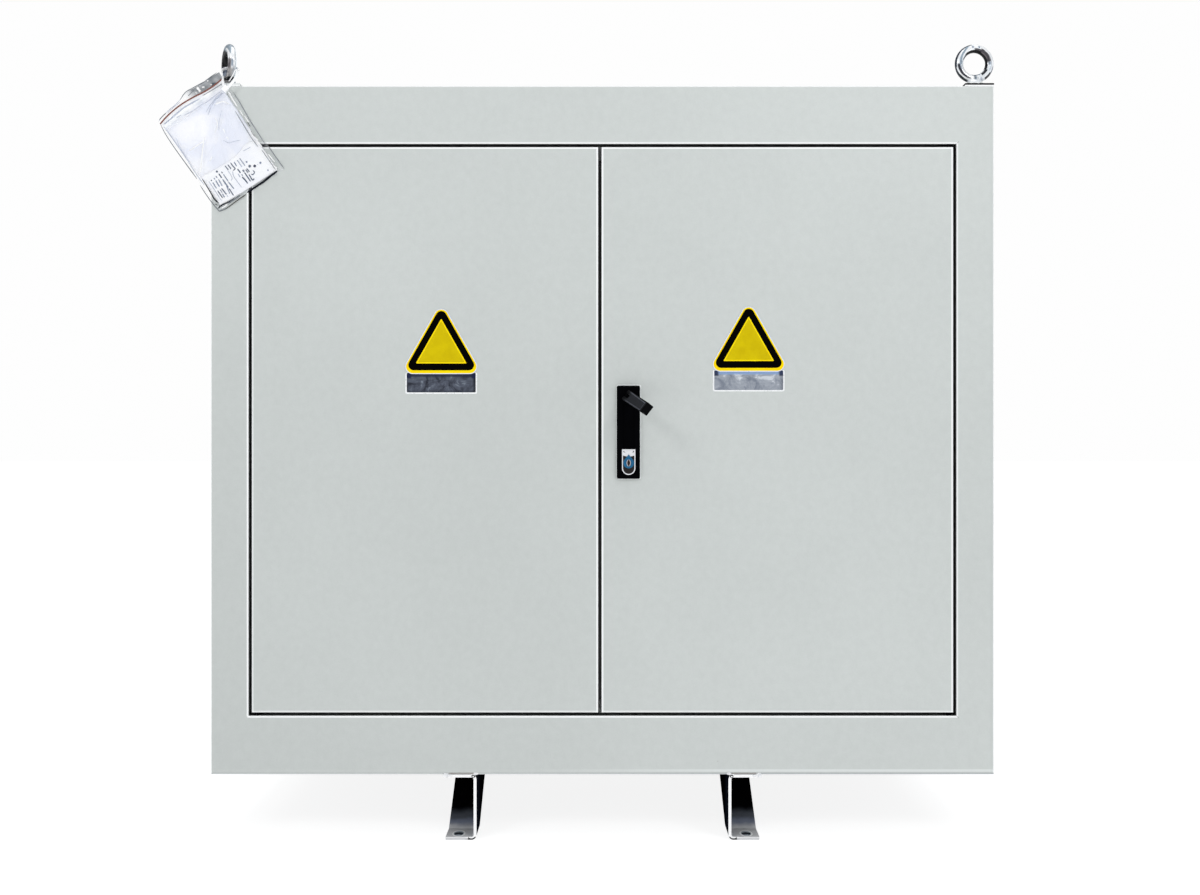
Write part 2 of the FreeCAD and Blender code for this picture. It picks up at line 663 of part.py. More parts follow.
lw, lt = S("lever_width") / 2, S("lever_thick") / 2
lever = plate("XY", [[(-lt, -lw), (S("lever_length"), -lw), (S("lever_length"), lw), (-lt, lw)]],
              -lt, lt)
vt = VALUE["lever_thick"] / 2
lever = round_edges(lever, vt - 0.2, lambda e: straight(e, 1) and near(e.BoundBox.XMin, -vt))
lever = round_edges(lever, 1.2, lambda e: near(e.BoundBox.ZMin, vt) and near(e.BoundBox.ZMax, vt))
lever = cut(lever, box(-10, 15, -3.3, 3.3, -10, 10), cyl("Y", 0, -12, 0, 2, 24))
piece("lever", on_pin(group(lever), turn_lifted))
piece("lever_pin", on_pin(group(cyl("Y", 0, -lw, 0, 2, lw * 2)), turn_lifted))

# lock: bright bezel with its barrel, coloured ring, and the core that the key turns
lx, lz = S("lock_x"), S("lock_z")
bezel_front = h_front - 1.5
bezel = fuse(box(lx - 10.2, lx + 10.2, bezel_front, h_front, lz - 8, 598.3),
             cyl("Y", lx, bezel_front, lz - 8, 10.2, 1.5), cyl("Y", lx, h_front - 0.5, lz, 9, 21))
bezel = cut(bezel, cyl("Y", lx, bezel_front - 1, lz, 5 + fit, 40))
piece("lock_bezel", bezel)
blue = plate("XZ", [[(lx - 8.2, lz), (lx - 5.8, lz + 5.8), (lx, lz + 13), (lx + 5.8, lz + 5.8),
                     (lx + 8.2, lz), (lx + 5.8, lz - 5.8), (lx, lz - 8.2), (lx - 5.8, lz - 5.8)]],
             bezel_front - 1, bezel_front)
blue = cut(fuse(blue, cyl("Y", lx, bezel_front - 1, lz, 8.2, 1)),
           cyl("Y", lx, bezel_front - 3, lz, 5 + fit, 6))
piece("lock_ring", blue)
core_pin = fuse(cyl("Y", lx, bezel_front - 1.2, lz, 5, 26), box(lx - 4, lx + 4, bezel_front + 22.8,
                                                              bezel_front + 24.8, lz - 14, lz + 4))
core_pin = cut(core_pin, box(lx - 0.7, lx + 0.7, bezel_front - 2, bezel_front + 8, lz - 3, lz + 3))
piece("lock_core", core_pin)

# latch rods, each with a slotted end plate over a cam pin
rod_back = rod_y + 1.5
for name, xr, off, s in (("upper_latch_rod", rod_up_x, -1.04, 1), ("lower_latch_rod", rod_dn_x, 1.04, -1)):
    zc = sz_ + off
    z_near, z_far = zc - 8 * s, sz_ + 22 * s
    p0, p1 = (z_near, z_far) if s > 0 else (z_far, z_near)
    xa, xb = (xr - 7.5, xr + 8) if s > 0 else (xr - 8, xr + 7.5)
    plate_ = box(xa, xb, rod_y - 1.5, rod_back, p0, p1)
    if s > 0:
        slot = box(xr - 3.6, xr + 6.4, rod_y - 3, rod_back + 2, zc - 3.5, zc + 3.5)
        bar = cyl("Z", xr, rod_y, sz_ + 20, rr, 1038 - sz_ - 20)
    else:
        slot = box(xr - 6.4, xr + 3.6, rod_y - 3, rod_back + 2, zc - 3.5, zc + 3.5)
        bar = cyl("Z", xr, rod_y, 218.5, rr, sz_ - 20 - 218.5)
    piece(name, fuse(cut(plate_, slot), bar))

# ---------------------------------------------------------------------------------------------
# sign plates: rounded triangle over a plain strip, one plate each
# ---------------------------------------------------------------------------------------------
for name, cx, z0, z1, zs in (("left_sign_plate", -247.7, 713, 814, 683.3),
                             ("right_sign_plate", 224, 715, 816.5, 687)):
    hw_ = S("sign_width") / 2
    peak = z1 + 9
    tri = plate("XZ", [[(cx - hw_ - 7, z0), (cx + hw_ + 7, z0), (cx, peak)]],
                front - S("sign_thick"), front)
    tri = round_edges(tri, 9, lambda e: straight(e, 1))
    hs = S("sign_strip_width") / 2
    strip = box(cx - hs, cx + hs, front - S("sign_thick"), front, zs, z0 + 3)
    strip = round_edges(strip, 2.5, lambda e: straight(e, 1) and e.BoundBox.ZMax < z0)
    piece(name, fuse(tri, strip))

# ---------------------------------------------------------------------------------------------
# document bag with its folded leaflet, tied to the left lifting eye
# ---------------------------------------------------------------------------------------------
bag_rot = FreeCAD.Rotation(FreeCAD.Vector(0, -1, 0), VALUE["bag_turn"])
bw, bl, bt = S("bag_width") / 2, S("bag_length") / 2, S("bag_thick")
bag = cut(box(-bw, bw, -bt, 0, -bl, bl), box(-bw + 2, bw - 2, -bt + 1, -1, -bl + 2, bl - 26),
          cyl("Y", bw - 9, -20, bl - 9, 4.5, 40))
piece("document_bag", place(group(bag), -586, front - 0.5, 1067, bag_rot))
leaflet = box(-bw + 7, bw - 7, -bt + 1.8, -1.8, -bl + 5, bl - 55)
piece("leaflet", place(group(leaflet), -586, front - 0.5, 1067, bag_rot))

ring_dir = FreeCAD.Vector(math.sin(math.radians(VALUE["eye_turn"])),
                          -math.cos(math.radians(VALUE["eye_turn"])), 0)
ring_mid = FreeCAD.Vector(-VALUE["eye_x"], -VALUE["eye_y"], VALUE["eye_height"])
beta = math.radians(-40)
on_ring = ring_mid + (ring_dir * math.cos(beta) + FreeCAD.Vector(0, 0, 1) * math.sin(beta)) \
    * VALUE["eye_ring"]
tangent = ring_dir * (-math.sin(beta)) + FreeCAD.Vector(0, 0, 1) * math.cos(beta)
hole_at = FreeCAD.Vector(-586, VALUE["body_depth"] / -2 - 4, 1067) + bag_rot.multVec(
    FreeCAD.Vector(VALUE["bag_width"] / 2 - 9, 0, VALUE["bag_length"] / 2 - 9))
reach = hole_at - on_ring
reach = reach - tangent * reach.dot(tangent)
reach.normalize()
o = doc.addObject("Part::Torus", "tie_loop")
o.Radius1 = 13
o.Radius2 = 1.3
tie_mid = on_ring + reach * 5
place(o, tie_mid.x, tie_mid.y, tie_mid.z, FreeCAD.Rotation(FreeCAD.Vector(0, 0, 1), tangent))
piece("cable_tie", o)

# ---------------------------------------------------------------------------------------------
# active part: rails, pads, core, clamps, tie rods, windings, busbars
# ---------------------------------------------------------------------------------------------
rails = []
for s in (-1, 1):
    x0, x1 = (S("foot_tip") * s, S("foot_web") * s) if s < 0 else (S("foot_web") * s, S("foot_tip") * s)
    o0 = box(x0, x1, -320, 338, base + t, base + t + 40)
    o1 = box(x0 + 4 if s < 0 else x0 - 1, x1 + 1 if s < 0 else x1 - 4, -321, 339, base + t + 4,
             base + t + 36)
    rails.append(cut(o0, o1))
piece("base_rails", group(rails))
pad_top = S("core_low") - 15
piece("core_pads", group([box(218.5 * s - 20, 218.5 * s + 20, y - 24, y + 24, base + t + 40, pad_top)
                          for s in (-1, 1) for y in (-84, 84)]))

lp, c0, wh = S("limb_pitch"), S("core_low"), S("window_height")
packets = []
for width, d0, d1 in ((S("limb_width"), -30, 30), (S("limb_width") - 16, -48, 48),
                      (S("limb_width") - 44, -60, 60)):
    off = (S("limb_width") - width) / 2
    packets.append(plate("XZ", [
        rect(-lp - width / 2, lp + width / 2, c0 + off, c0 + S("limb_width") * 2 + wh - off),
        rect(-lp + width / 2, -width / 2, c0 + off + width, c0 + S("limb_width") * 2 + wh - off - width),
        rect(width / 2, lp - width / 2, c0 + off + width, c0 + S("limb_width") * 2 + wh - off - width),
    ], d0, d1))
piece("core", fuse(packets))

ch, cp, cf = S("clamp_half"), S("clamp_plate"), S("clamp_flange")
ro = S("rod_offset")
TIE_X = (-425, -150, 150, 425)


def clamp(s, z0, z1):
    y0 = 60 * s
    y1 = (cf + 60) * s
    lo, hi = (y1, y0) if s < 0 else (y0, y1)
    ilo, ihi = (y1 - 1, y0 - cp) if s < 0 else (y0 + cp, y1 + 1)
    return cut(box(-ch, ch, lo, hi, z0, z1), box(-ch - 1, ch + 1, ilo, ihi, z0 + cp, z1 - cp),
               [cyl("Z", x, ro * s, z0 - 5, 9, z1 - z0 + 10) for x in TIE_X])


upper0 = c0 + S("limb_width") + wh + 15
piece("lower_yoke_clamps", group(clamp(-1, c0 - 15, c0 + 105), clamp(1, c0 - 15, c0 + 105)))
piece("upper_yoke_clamps", group(clamp(-1, upper0, upper0 + 120), clamp(1, upper0, upper0 + 120)))
tr = S("tie_radius")
piece("tie_rods", group([cyl("Z", x, ro * s, c0 - 26, tr, upper0 + 120 - c0 + 46)
                         for x in TIE_X for s in (-1, 1)]))
nuts = []
for x in TIE_X:
    for s in (-1, 1):
        for z in (c0 - 15 - 10, upper0 + 120):
            nuts.append(cut(hexagon("Z", x, ro * s, z, 24, 10), cyl("Z", x, ro * s, z - 1, tr, 12)))
for sx in (-1, 1):
    for sy in (-1, 1):
        x, y = eye_at(sx, sy), S("eye_y") * sy
        nuts.append(cut(hexagon("Z", x, y, top - t - 10, 24, 10), cyl("Z", x, y, top - t - 12, 8, 14)))
piece("hex_nuts", group(nuts))


def coil(x, rin, rout, z0, z1, soft):
    tube = cut(cyl("Z", x, 0, z0, rout, z1 - z0), cyl("Z", x, 0, z0 - 1, rin, z1 - z0 + 2))
    return round_edges(tube, soft, lambda e: e.Curve.TypeId == "Part::GeomCircle"
                       and near(e.Curve.Radius, val(rout)))


piece("low_voltage_windings", group([coil(lp * i, S("lv_inner"), S("lv_outer"), S("lv_low"),
                                          S("lv_high"), 2) for i in (-1, 0, 1)]))
for i in (-1, 0, 1):
    piece("high_voltage_winding_%d" % (i + 2),
          coil(lp * i, S("hv_inner"), S("hv_outer"), S("hv_low"), S("hv_high"), 8))

blocks = []
for i in (-1, 0, 1):
    for dx in (-45, 45):
        xc = lp * i + dx
        for s in (-1, 1):
            blocks.append(plate("YZ", [[
                (66 * s, c0 + 105), (126 * s, c0 + 105), (126 * s, S("hv_low")),
                (101 * s, S("hv_low")), (101 * s, S("lv_low")), (66 * s, S("lv_low"))]],
                xc - 12, xc + 12))
            blocks.append(plate("YZ", [[
                (66 * s, upper0), (126 * s, upper0), (126 * s, S("hv_high")),
                (101 * s, S("hv_high")), (101 * s, S("lv_high")), (66 * s, S("lv_high"))]],
                xc - 12, xc + 12))
piece("winding_spacers", group(blocks))

lv1 = S("lv_high")
bars = []
for i in (-1, 0, 1):
    bar = plate("YZ", [[(-84, lv1), (-84, lv1 + 22), (-144, lv1 + 22), (-144, 985), (-150, 985),
                        (-150, lv1 + 16), (-90, lv1 + 16), (-90, lv1)]], lp * i - 20, lp * i + 20)
    bar = round_edges(bar, 7, lambda e: straight(e, 0) and (
        (near(e.BoundBox.YMin, -150) and e.BoundBox.ZMin < 800)
        or (near(e.BoundBox.YMin, -84) and e.BoundBox.ZMin > VALUE["lv_high"] + 20)))
    bars.append(cut(bar, cyl("Y", lp * i, -160, 968, 6.5, 20), cyl("Y", lp * i, -160, 940, 5, 20)))
piece("low_voltage_busbars", group(bars))

star = [box(lp * i - 20, lp * i + 20, 84, 90, lv1, lv1 + 22) for i in (-1, 0, 1)]
star += [box(lp * i - 20, lp * i + 20, 84, 150, lv1 + 16, lv1 + 22) for i in (-1, 0, 1)]
star.append(box(-lp - 20, lp + 20, 144, 150, lv1 + 16, lv1 + 56))
piece("neutral_bar", fuse(star))

rail_z = 925
rail = cut(box(-470, 470, -95, -65, rail_z, rail_z + 30), box(-471, 471, -92, -62, rail_z + 3, rail_z + 27))
rail = fuse(rail, [box(x - 20, x + 20, -95, -91, upper0 + 120, rail_z + 30) for x in (-440, 440)],
            [box(x - 20, x + 20, -105, -61, upper0 + 120, upper0 + 124) for x in (-440 - 5, 440 + 5)])
rail = cut(rail, [cyl("Z", x, -85, upper0 + 100, 14, 45) for x in (-425, 425)])
piece("busbar_rail", rail)
insulators = []
for i in (-1, 0, 1):
    insulators.append(turned([(0, 0), (18, 0), (18, 6), (14, 9), (14, 14), (20, 18), (14, 22),
                              (14, 27), (20, 31), (14, 35), (14, 40), (18, 43), (18, 49), (0, 49)],
                             lp * i, -144, rail_z + 15, TO_AXIS["Y"]))
piece("post_insulators", group(insulators))
piece("busbar_bolts", group([
    fuse(hexagon("Y", lp * i, -156.4, rail_z + 15, 17, 6.4), cyl("Y", lp * i, -150, rail_z + 15, 5, 6))
    for i in (-1, 0, 1)]))

links = []
hv_back = VALUE["hv_outer"] - 1
for (xa, xb, y) in ((-300, 0, 152), (0, 300, 152), (300, -300, 176)):
    za, zb = 660, 370
    d = FreeCAD.Vector(xb - xa, 0, zb - za)
    o = doc.addObject("Part::Cylinder", "link")
    o.Radius = 6
    o.Height = d.Length
    place(o, xa, y, za, FreeCAD.Rotation(FreeCAD.Vector(0, 0, 1), d))
    links.append(fuse(o, cyl("Y", xa, 135.2, za, 9, y - 135.2 + 8), cyl("Y", xb, 135.2, zb, 9, y - 135.2 + 8)))
piece("delta_links", group(links))

# earth stud through the floor plate: free end below, a second lead's nut and washer above
stud = fuse(cyl("Z", -330, 262, base - 36, 6, 32), cyl("Z", -330, 262, base - 4, 6.5, 8),
            hexagon("Z", -330, 262, base - 8, 19, 8), hexagon("Z", -330, 262, base + t, 19, 8),
            cyl("Z", -330, 262, base + t + 7, 5, 24), cyl("Z", -330, 262, base + t + 13, 11, 2.5),
            hexagon("Z", -330, 262, base + t + 17, 17, 8))
piece("earth_stud", stud)

# ---------------------------------------------------------------------------------------------
# checks and files
# ---------------------------------------------------------------------------------------------
doc.recompute()
bad = []
for o in doc.Objects:
    if "Invalid" in o.State or "Error" in o.State:
        bad.append("%s (%s) %s" % (o.Name, o.Label, o.State))
names = [n for n, _ in PIECES]
if len(set(names)) != len(names):
    bad.append("a name is used twice")
for name, o in PIECES:
    shape = o.Shape
    if shape.isNull() or not shape.isValid() or not shape.Solids or shape.Volume <= 0:
        bad.append("%s has no valid solid" % name)
if bad:
    raise RuntimeError("; ".join(bad))

os.makedirs("parts", exist_ok=True)
total = 0.0
for name, o in PIECES:
    o.Shape.exportStep("parts/%s.step" % name)
    total += o.Shape.Volume
print("%d pieces, %.4f m3 of solid" % (len(PIECES), total / 1e9))
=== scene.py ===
import math

import bmesh
import bpy
from mathutils import Matrix, Vector, noise


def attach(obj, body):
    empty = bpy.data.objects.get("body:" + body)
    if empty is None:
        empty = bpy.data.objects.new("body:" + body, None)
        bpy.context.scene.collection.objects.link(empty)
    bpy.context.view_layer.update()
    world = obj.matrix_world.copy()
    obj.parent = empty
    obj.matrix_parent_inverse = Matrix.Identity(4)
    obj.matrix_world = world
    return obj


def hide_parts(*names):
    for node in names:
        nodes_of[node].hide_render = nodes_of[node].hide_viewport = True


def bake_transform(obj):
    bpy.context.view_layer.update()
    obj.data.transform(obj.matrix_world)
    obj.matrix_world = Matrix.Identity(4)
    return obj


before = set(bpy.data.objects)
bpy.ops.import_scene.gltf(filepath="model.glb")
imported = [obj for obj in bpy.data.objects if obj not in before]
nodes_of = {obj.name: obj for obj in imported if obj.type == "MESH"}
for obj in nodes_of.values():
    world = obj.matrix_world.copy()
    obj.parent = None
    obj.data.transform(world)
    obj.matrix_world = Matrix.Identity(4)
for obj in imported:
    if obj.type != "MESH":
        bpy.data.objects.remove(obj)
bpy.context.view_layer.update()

scene = bpy.context.scene
scene.view_settings.view_transform = "Standard"
scene.view_settings.look = "None"
scene.view_settings.exposure = 0.0
scene.view_settings.gamma = 1.0

MM = 0.001


# ---------------------------------------------------------------------------------------------
# material helper
# ---------------------------------------------------------------------------------------------
def srgb(r, g, b):
    """Linear colour from 0 to 255 values."""
    def one(c):
        c = c / 255.0
        return c / 12.92 if c <= 0.04045 else ((c + 0.055) / 1.055) ** 2.4
    return (one(r), one(g), one(b), 1.0)


class Finish:
    """A node material with short calls for the usual nodes. Coordinates are metres in the part's own frame."""

    def __init__(self, name, **sockets):
        self.mat = bpy.data.materials.new(name)
        self.mat.use_nodes = True
        self.tree = self.mat.node_tree
        self.tree.nodes.clear()
        self.out = self.tree.nodes.new("ShaderNodeOutputMaterial")
        self.bsdf = self.tree.nodes.new("ShaderNodeBsdfPrincipled")
        self.tree.links.new(self.bsdf.outputs["BSDF"], self.out.inputs["Surface"])
        self.here = self.tree.nodes.new("ShaderNodeTexCoord").outputs["Object"]
        for key, value in sockets.items():
            self.set(key.replace("_", " "), value)

    def put(self, socket, value):
        if isinstance(value, bpy.types.NodeSocket):
            self.tree.links.new(value, socket)
        else:
            socket.default_value = value

    def set(self, name, value):
        self.put(self.bsdf.inputs[name], value)
        return self

    def scaled(self, x, y, z, vector=None):
        n = self.tree.nodes.new("ShaderNodeMapping")
        self.put(n.inputs["Vector"], vector or self.here)
        n.inputs["Scale"].default_value = (x, y, z)
        return n.outputs["Vector"]

    def noise(self, scale, detail=2.0, rough=0.5, distort=0.0, vector=None):
        n = self.tree.nodes.new("ShaderNodeTexNoise")
        self.put(n.inputs["Vector"], vector or self.here)
        n.inputs["Scale"].default_value = scale
        n.inputs["Detail"].default_value = detail
        n.inputs["Roughness"].default_value = rough
        n.inputs["Distortion"].default_value = distort
        return n.outputs["Fac"]

    def cells(self, scale, feature="F1", out="Distance", vector=None):
        n = self.tree.nodes.new("ShaderNodeTexVoronoi")
        n.feature = feature
        self.put(n.inputs["Vector"], vector or self.here)
        n.inputs["Scale"].default_value = scale
        return n.outputs[out]

    def wave(self, scale, axis="Z", distort=0.0, detail=0.0, dscale=1.0, vector=None):
        n = self.tree.nodes.new("ShaderNodeTexWave")
        n.bands_direction = axis
        self.put(n.inputs["Vector"], vector or self.here)
        n.inputs["Scale"].default_value = scale
        n.inputs["Distortion"].default_value = distort
        n.inputs["Detail"].default_value = detail
        n.inputs["Detail Scale"].default_value = dscale
        return n.outputs["Fac"]

    def span(self, value, lo, hi, a=0.0, b=1.0, smooth=True):
        n = self.tree.nodes.new("ShaderNodeMapRange")
        n.interpolation_type = "SMOOTHSTEP" if smooth else "LINEAR"
        self.put(n.inputs["Value"], value)
        n.inputs["From Min"].default_value = lo
        n.inputs["From Max"].default_value = hi
        n.inputs["To Min"].default_value = a
        n.inputs["To Max"].default_value = b
        return n.outputs["Result"]

    def math(self, op, a, b=0.0, clamp=False):
        n = self.tree.nodes.new("ShaderNodeMath")
        n.operation = op
        n.use_clamp = clamp
        self.put(n.inputs[0], a)
        self.put(n.inputs[1], b)
        return n.outputs[0]

    def mix(self, fac, a, b, kind="MIX"):
        n = self.tree.nodes.new("ShaderNodeMix")
        n.data_type = "RGBA"
        n.blend_type = kind
        self.put(n.inputs["Factor"], fac)
        self.put(n.inputs[6], a)
        self.put(n.inputs[7], b)
        return n.outputs[2]

    def axes(self, vector=None):
        n = self.tree.nodes.new("ShaderNodeSeparateXYZ")
        self.put(n.inputs[0], vector or self.here)
        return n.outputs["X"], n.outputs["Y"], n.outputs["Z"]

    def normal(self):
        """The surface's own direction in the part's frame."""
        n = self.tree.nodes.new("ShaderNodeTexCoord")
        return self.axes(n.outputs["Normal"])

    def dot(self, vector, other):
        n = self.tree.nodes.new("ShaderNodeVectorMath")
        n.operation = "DOT_PRODUCT"
        self.put(n.inputs[0], vector)
        n.inputs[1].default_value = other
        return n.outputs["Value"]

    def both(self, *masks):
        """The product of masks."""
        last = masks[0]
        for m in masks[1:]:
            last = self.math("MULTIPLY", last, m)
        return last

    def within(self, value, lo, hi, soft=0.0003):
        """1 between lo and hi, 0 outside, soft at both ends."""
        return self.both(self.span(value, lo - soft, lo + soft), self.span(value, hi - soft, hi + soft, 1.0, 0.0))

    def paint(self, base, colour, fac, *masks):
        """Puts a colour over the base where all masks are 1."""
        return self.mix(self.math("MULTIPLY", self.both(*masks), fac), base, colour)

    def layer(self, name):
        n = self.tree.nodes.new("ShaderNodeAttribute")
        n.attribute_name = name
        return n.outputs["Fac"]

    def bump(self, *layers):
        """layers: (height, strength, distance in metres), one on top of another."""
        last = None
        for height, strength, distance in layers:
            n = self.tree.nodes.new("ShaderNodeBump")
            n.inputs["Strength"].default_value = strength
            n.inputs["Distance"].default_value = distance
            self.put(n.inputs["Height"], height)
            if last is not None:
                self.put(n.inputs["Normal"], last)
            last = n.outputs["Normal"]
        self.set("Normal", last)
        return self


def dress(material, *names):
    """Gives CAD nodes a material, in every slot that they have."""
    for name in names:
        mesh = nodes_of[name].data
        if not mesh.materials:
            mesh.materials.append(material)
        for i in range(len(mesh.materials)):
            mesh.materials[i] = material


# ---------------------------------------------------------------------------------------------
# finishes
# ---------------------------------------------------------------------------------------------
def powder_coat(name, low, high, edge, detail=None, bend_from=0.30, bend_full=0.62):
    """Light grey powder coat: fine orange peel, faint cloudiness, sparse tiny specks, a painted highlight on the
    folded edges.
    """
    f = Finish(name, IOR=1.5)
    cloud = f.noise(2.1, 3.0, 0.55)
    fine = f.noise(95.0, 3.0, 0.6)
    grain = f.noise(420.0, 2.0, 0.6)
    tone = f.math("ADD", f.math("MULTIPLY", cloud, 0.45), f.math("MULTIPLY", fine, 0.30))
    tone = f.math("ADD", tone, f.math("MULTIPLY", grain, 0.25))
    colour = f.mix(f.span(tone, 0.36, 0.64, smooth=False), low, high)
    # sparse grains of dust under the coat
    speck = f.span(f.cells(21.0), 0.012, 0.020, 1.0, 0.0)
    rare = f.span(f.noise(5.3, 1.0), 0.60, 0.64)
    colour = f.mix(f.math("MULTIPLY", f.math("MULTIPLY", speck, rare), 0.40), colour,
                   srgb(122, 104, 88))
    nx, ny, nz = f.normal()
    ay = f.math("ABSOLUTE", ny)
    # painted highlight: the rounded folds, picked by the slant of their surface, are lifted towards the edge highlight
    # colour
    bend = f.both(f.span(ay, bend_from, bend_full), f.span(ay, 0.93, 0.995, 1.0, 0.0))
    colour = f.mix(f.math("MULTIPLY", bend, 0.85), colour, edge)
    if detail is not None:
        colour = detail(f, colour)
    f.set("Base Color", colour)
    f.set("Roughness", f.span(f.noise(38.0, 3.0), 0.3, 0.7, 0.37, 0.47))
    f.bump((f.noise(330.0, 2.0, 0.5), 0.22, 0.00035), (f.noise(26.0, 2.0, 0.5), 0.10, 0.0012))
    return f.mat


BODY_LOW, BODY_HIGH = srgb(199, 204, 202), srgb(208, 213, 211)
EDGE_HIGHLIGHT = srgb(246, 249, 249)
HIGHLIGHT_WHITE = srgb(250, 252, 252)
GAP_SHADE_BLACK = srgb(1, 1, 2)
SHADE_BLACK = (0.0, 0.0, 0.0, 1.0)


def frame_detail(f, colour):
    """Front frame: painted highlights along the edges of the opening, black painted as shade in the rebate and along
    the edge of the opening, painted shade darker towards the bottom and the left.
    """
    x, y, z = f.axes()
    face = f.span(y, -0.3488, -0.3482, 1.0, 0.0)
    # painted shade: the front grows darker towards the bottom and the left
    tone = f.math("ADD", f.span(z, 0.30, 1.06, 0.055, 0.0), f.span(x, -0.56, 0.30, 0.045, 0.0))
    colour = f.mix(f.both(face, tone), colour, SHADE_BLACK)
    # painted highlights: near-white lines along the edges of the opening, strongest at the bottom and the left
    for fac, hit in ((0.95, (f.within(z, 0.1872, 0.1900), f.within(x, -0.5440, 0.5440))),
                     (0.92, (f.within(x, -0.5451, -0.5424), f.within(z, 0.1890, 1.0680))),
                     (0.62, (f.within(z, 1.0665, 1.0692), f.within(x, -0.5440, 0.5440))),
                     (0.62, (f.within(x, 0.5424, 0.5450), f.within(z, 0.1890, 1.0680)))):
        colour = f.paint(colour, HIGHLIGHT_WHITE, fac, face, *hit)
    # mitre of the folded opening at its right corners
    u = f.math("SUBTRACT", x, 0.5420)
    v = f.math("SUBTRACT", f.math("ABSOLUTE", f.math("SUBTRACT", z, 0.62825)), 0.43775)
    mitre = f.span(f.math("ABSOLUTE", f.math("SUBTRACT", u, v)), 0.0003, 0.0007, 1.0, 0.0)
    colour = f.paint(colour, srgb(120, 124, 126), 0.8, face, mitre, f.within(u, 0.0003, 0.0040))
    # painted shade: the very edge of the opening is black, as the door gap
    colour = f.paint(colour, GAP_SHADE_BLACK, 1.0, face, f.within(x, -0.5425, 0.5425, 0.0002),
                     f.within(z, 0.1900, 1.0665, 0.0002))
    # lower fold: a pale band on the right as a painted highlight, then a dark line as painted shade of its underside
    colour = f.paint(colour, srgb(228, 232, 232), f.span(x, -0.15, 0.25, 0.05, 0.60), face,
                     f.within(z, 0.1044, 0.1082, 0.0006))
    colour = f.paint(colour, srgb(112, 119, 128), f.span(x, -0.25, 0.30, 0.22, 0.50), face,
                     f.span(z, 0.1022, 0.1034, 1.0, 0.0))
    # painted shade: a faint darker line just inside the right edge
    colour = f.paint(colour, srgb(168, 172, 172), 0.10, face, f.within(x, 0.5945, 0.5980, 0.0006))
    # each front foot laps the lower fold
    foot = f.both(face, f.span(z, 0.1010, 0.1016, 1.0, 0.0), f.within(f.math("ABSOLUTE", x), 0.1970, 0.2380))
    colour = f.mix(foot, colour, srgb(232, 234, 235))
    # painted shade: the rebate behind the door gap is black
    seal = f.both(f.span(y, -0.3478, -0.3470), f.span(y, -0.3300, -0.3290, 1.0, 0.0),
                  f.within(x, -0.5438, 0.5438), f.within(z, 0.1888, 1.0678))
    return f.mix(seal, colour, GAP_SHADE_BLACK)


def post_detail(f, colour):
    """Centre post: its front painted black as shade seen through the door gap."""
    nx, ny, nz = f.normal()
    return f.mix(f.span(ny, -0.8, -0.5, 1.0, 0.0), colour, GAP_SHADE_BLACK)


def door_detail(f, colour):
    """Doors: painted highlights along their edges, brighter at the top and at the middle gap, the returns painted
    black as shade in the gap, painted shade darker towards the bottom and the left.
    """
    x, y, z = f.axes()
    nx, ny, nz = f.normal()
    face = f.span(y, -0.3488, -0.3482, 1.0, 0.0)
    # painted shade: the front grows darker towards the bottom and the left
    tone = f.math("ADD", f.span(z, 0.25, 1.06, 0.026, 0.0), f.span(x, -0.35, 0.35, 0.035, 0.0))
    colour = f.mix(f.both(face, tone), colour, SHADE_BLACK)
    tall = f.within(z, 0.1945, 1.0620)
    # painted highlights: near-white lines along the door edges
    for fac, hit in ((0.90, (f.within(z, 1.0587, 1.0614),)),
                     (0.85, (f.within(x, 0.5346, 0.5373), tall)),
                     (0.92, (f.within(x, -0.0094, -0.0066), tall)),
                     (0.92, (f.within(x, -0.0014, 0.0014), tall)),
                     (0.50, (f.within(x, -0.5373, -0.5346), tall)),
                     (0.50, (f.within(z, 0.1951, 0.1979),))):
        colour = f.paint(colour, HIGHLIGHT_WHITE, fac, face, *hit)
    # painted shade: the returns in the door gap are black
    side = f.both(f.span(f.math("ABSOLUTE", ny), 0.68, 0.82, 1.0, 0.0), f.span(y, -0.3400, -0.3390, 1.0, 0.0))
    return f.mix(side, colour, GAP_SHADE_BLACK)


coat_body = powder_coat("cabinet_coat", BODY_LOW, BODY_HIGH, EDGE_HIGHLIGHT)
coat_frame = powder_coat("frame_coat", BODY_LOW, BODY_HIGH, EDGE_HIGHLIGHT, frame_detail)
coat_post = powder_coat("post_coat", BODY_LOW, BODY_HIGH, EDGE_HIGHLIGHT, post_detail)
coat_door = powder_coat("door_coat", srgb(198, 203, 201), srgb(207, 212, 210), EDGE_HIGHLIGHT, door_detail, 0.80, 0.88)


def coat_with_shaded_underside():
    """The floor plate: coat on the inside, painted dark underneath as the shade under the housing."""
    f = Finish("floor_plate_coat", IOR=1.5)
    nx, ny, nz = f.normal()
    # painted shade: the underside is dark
    under = f.span(nz, -0.9, -0.5, 1.0, 0.0)
    top = f.mix(f.noise(60.0, 3.0), BODY_LOW, BODY_HIGH)
    low = f.mix(f.span(f.noise(14.0, 4.0, 0.6), 0.35, 0.65), srgb(40, 42, 44), srgb(62, 64, 66))
    f.set("Base Color", f.mix(under, top, low))
    f.set("Roughness", f.span(f.noise(30.0, 3.0), 0.3, 0.7, 0.45, 0.62))
    f.bump((f.noise(330.0, 2.0), 0.2, 0.0004))
    return f.mat


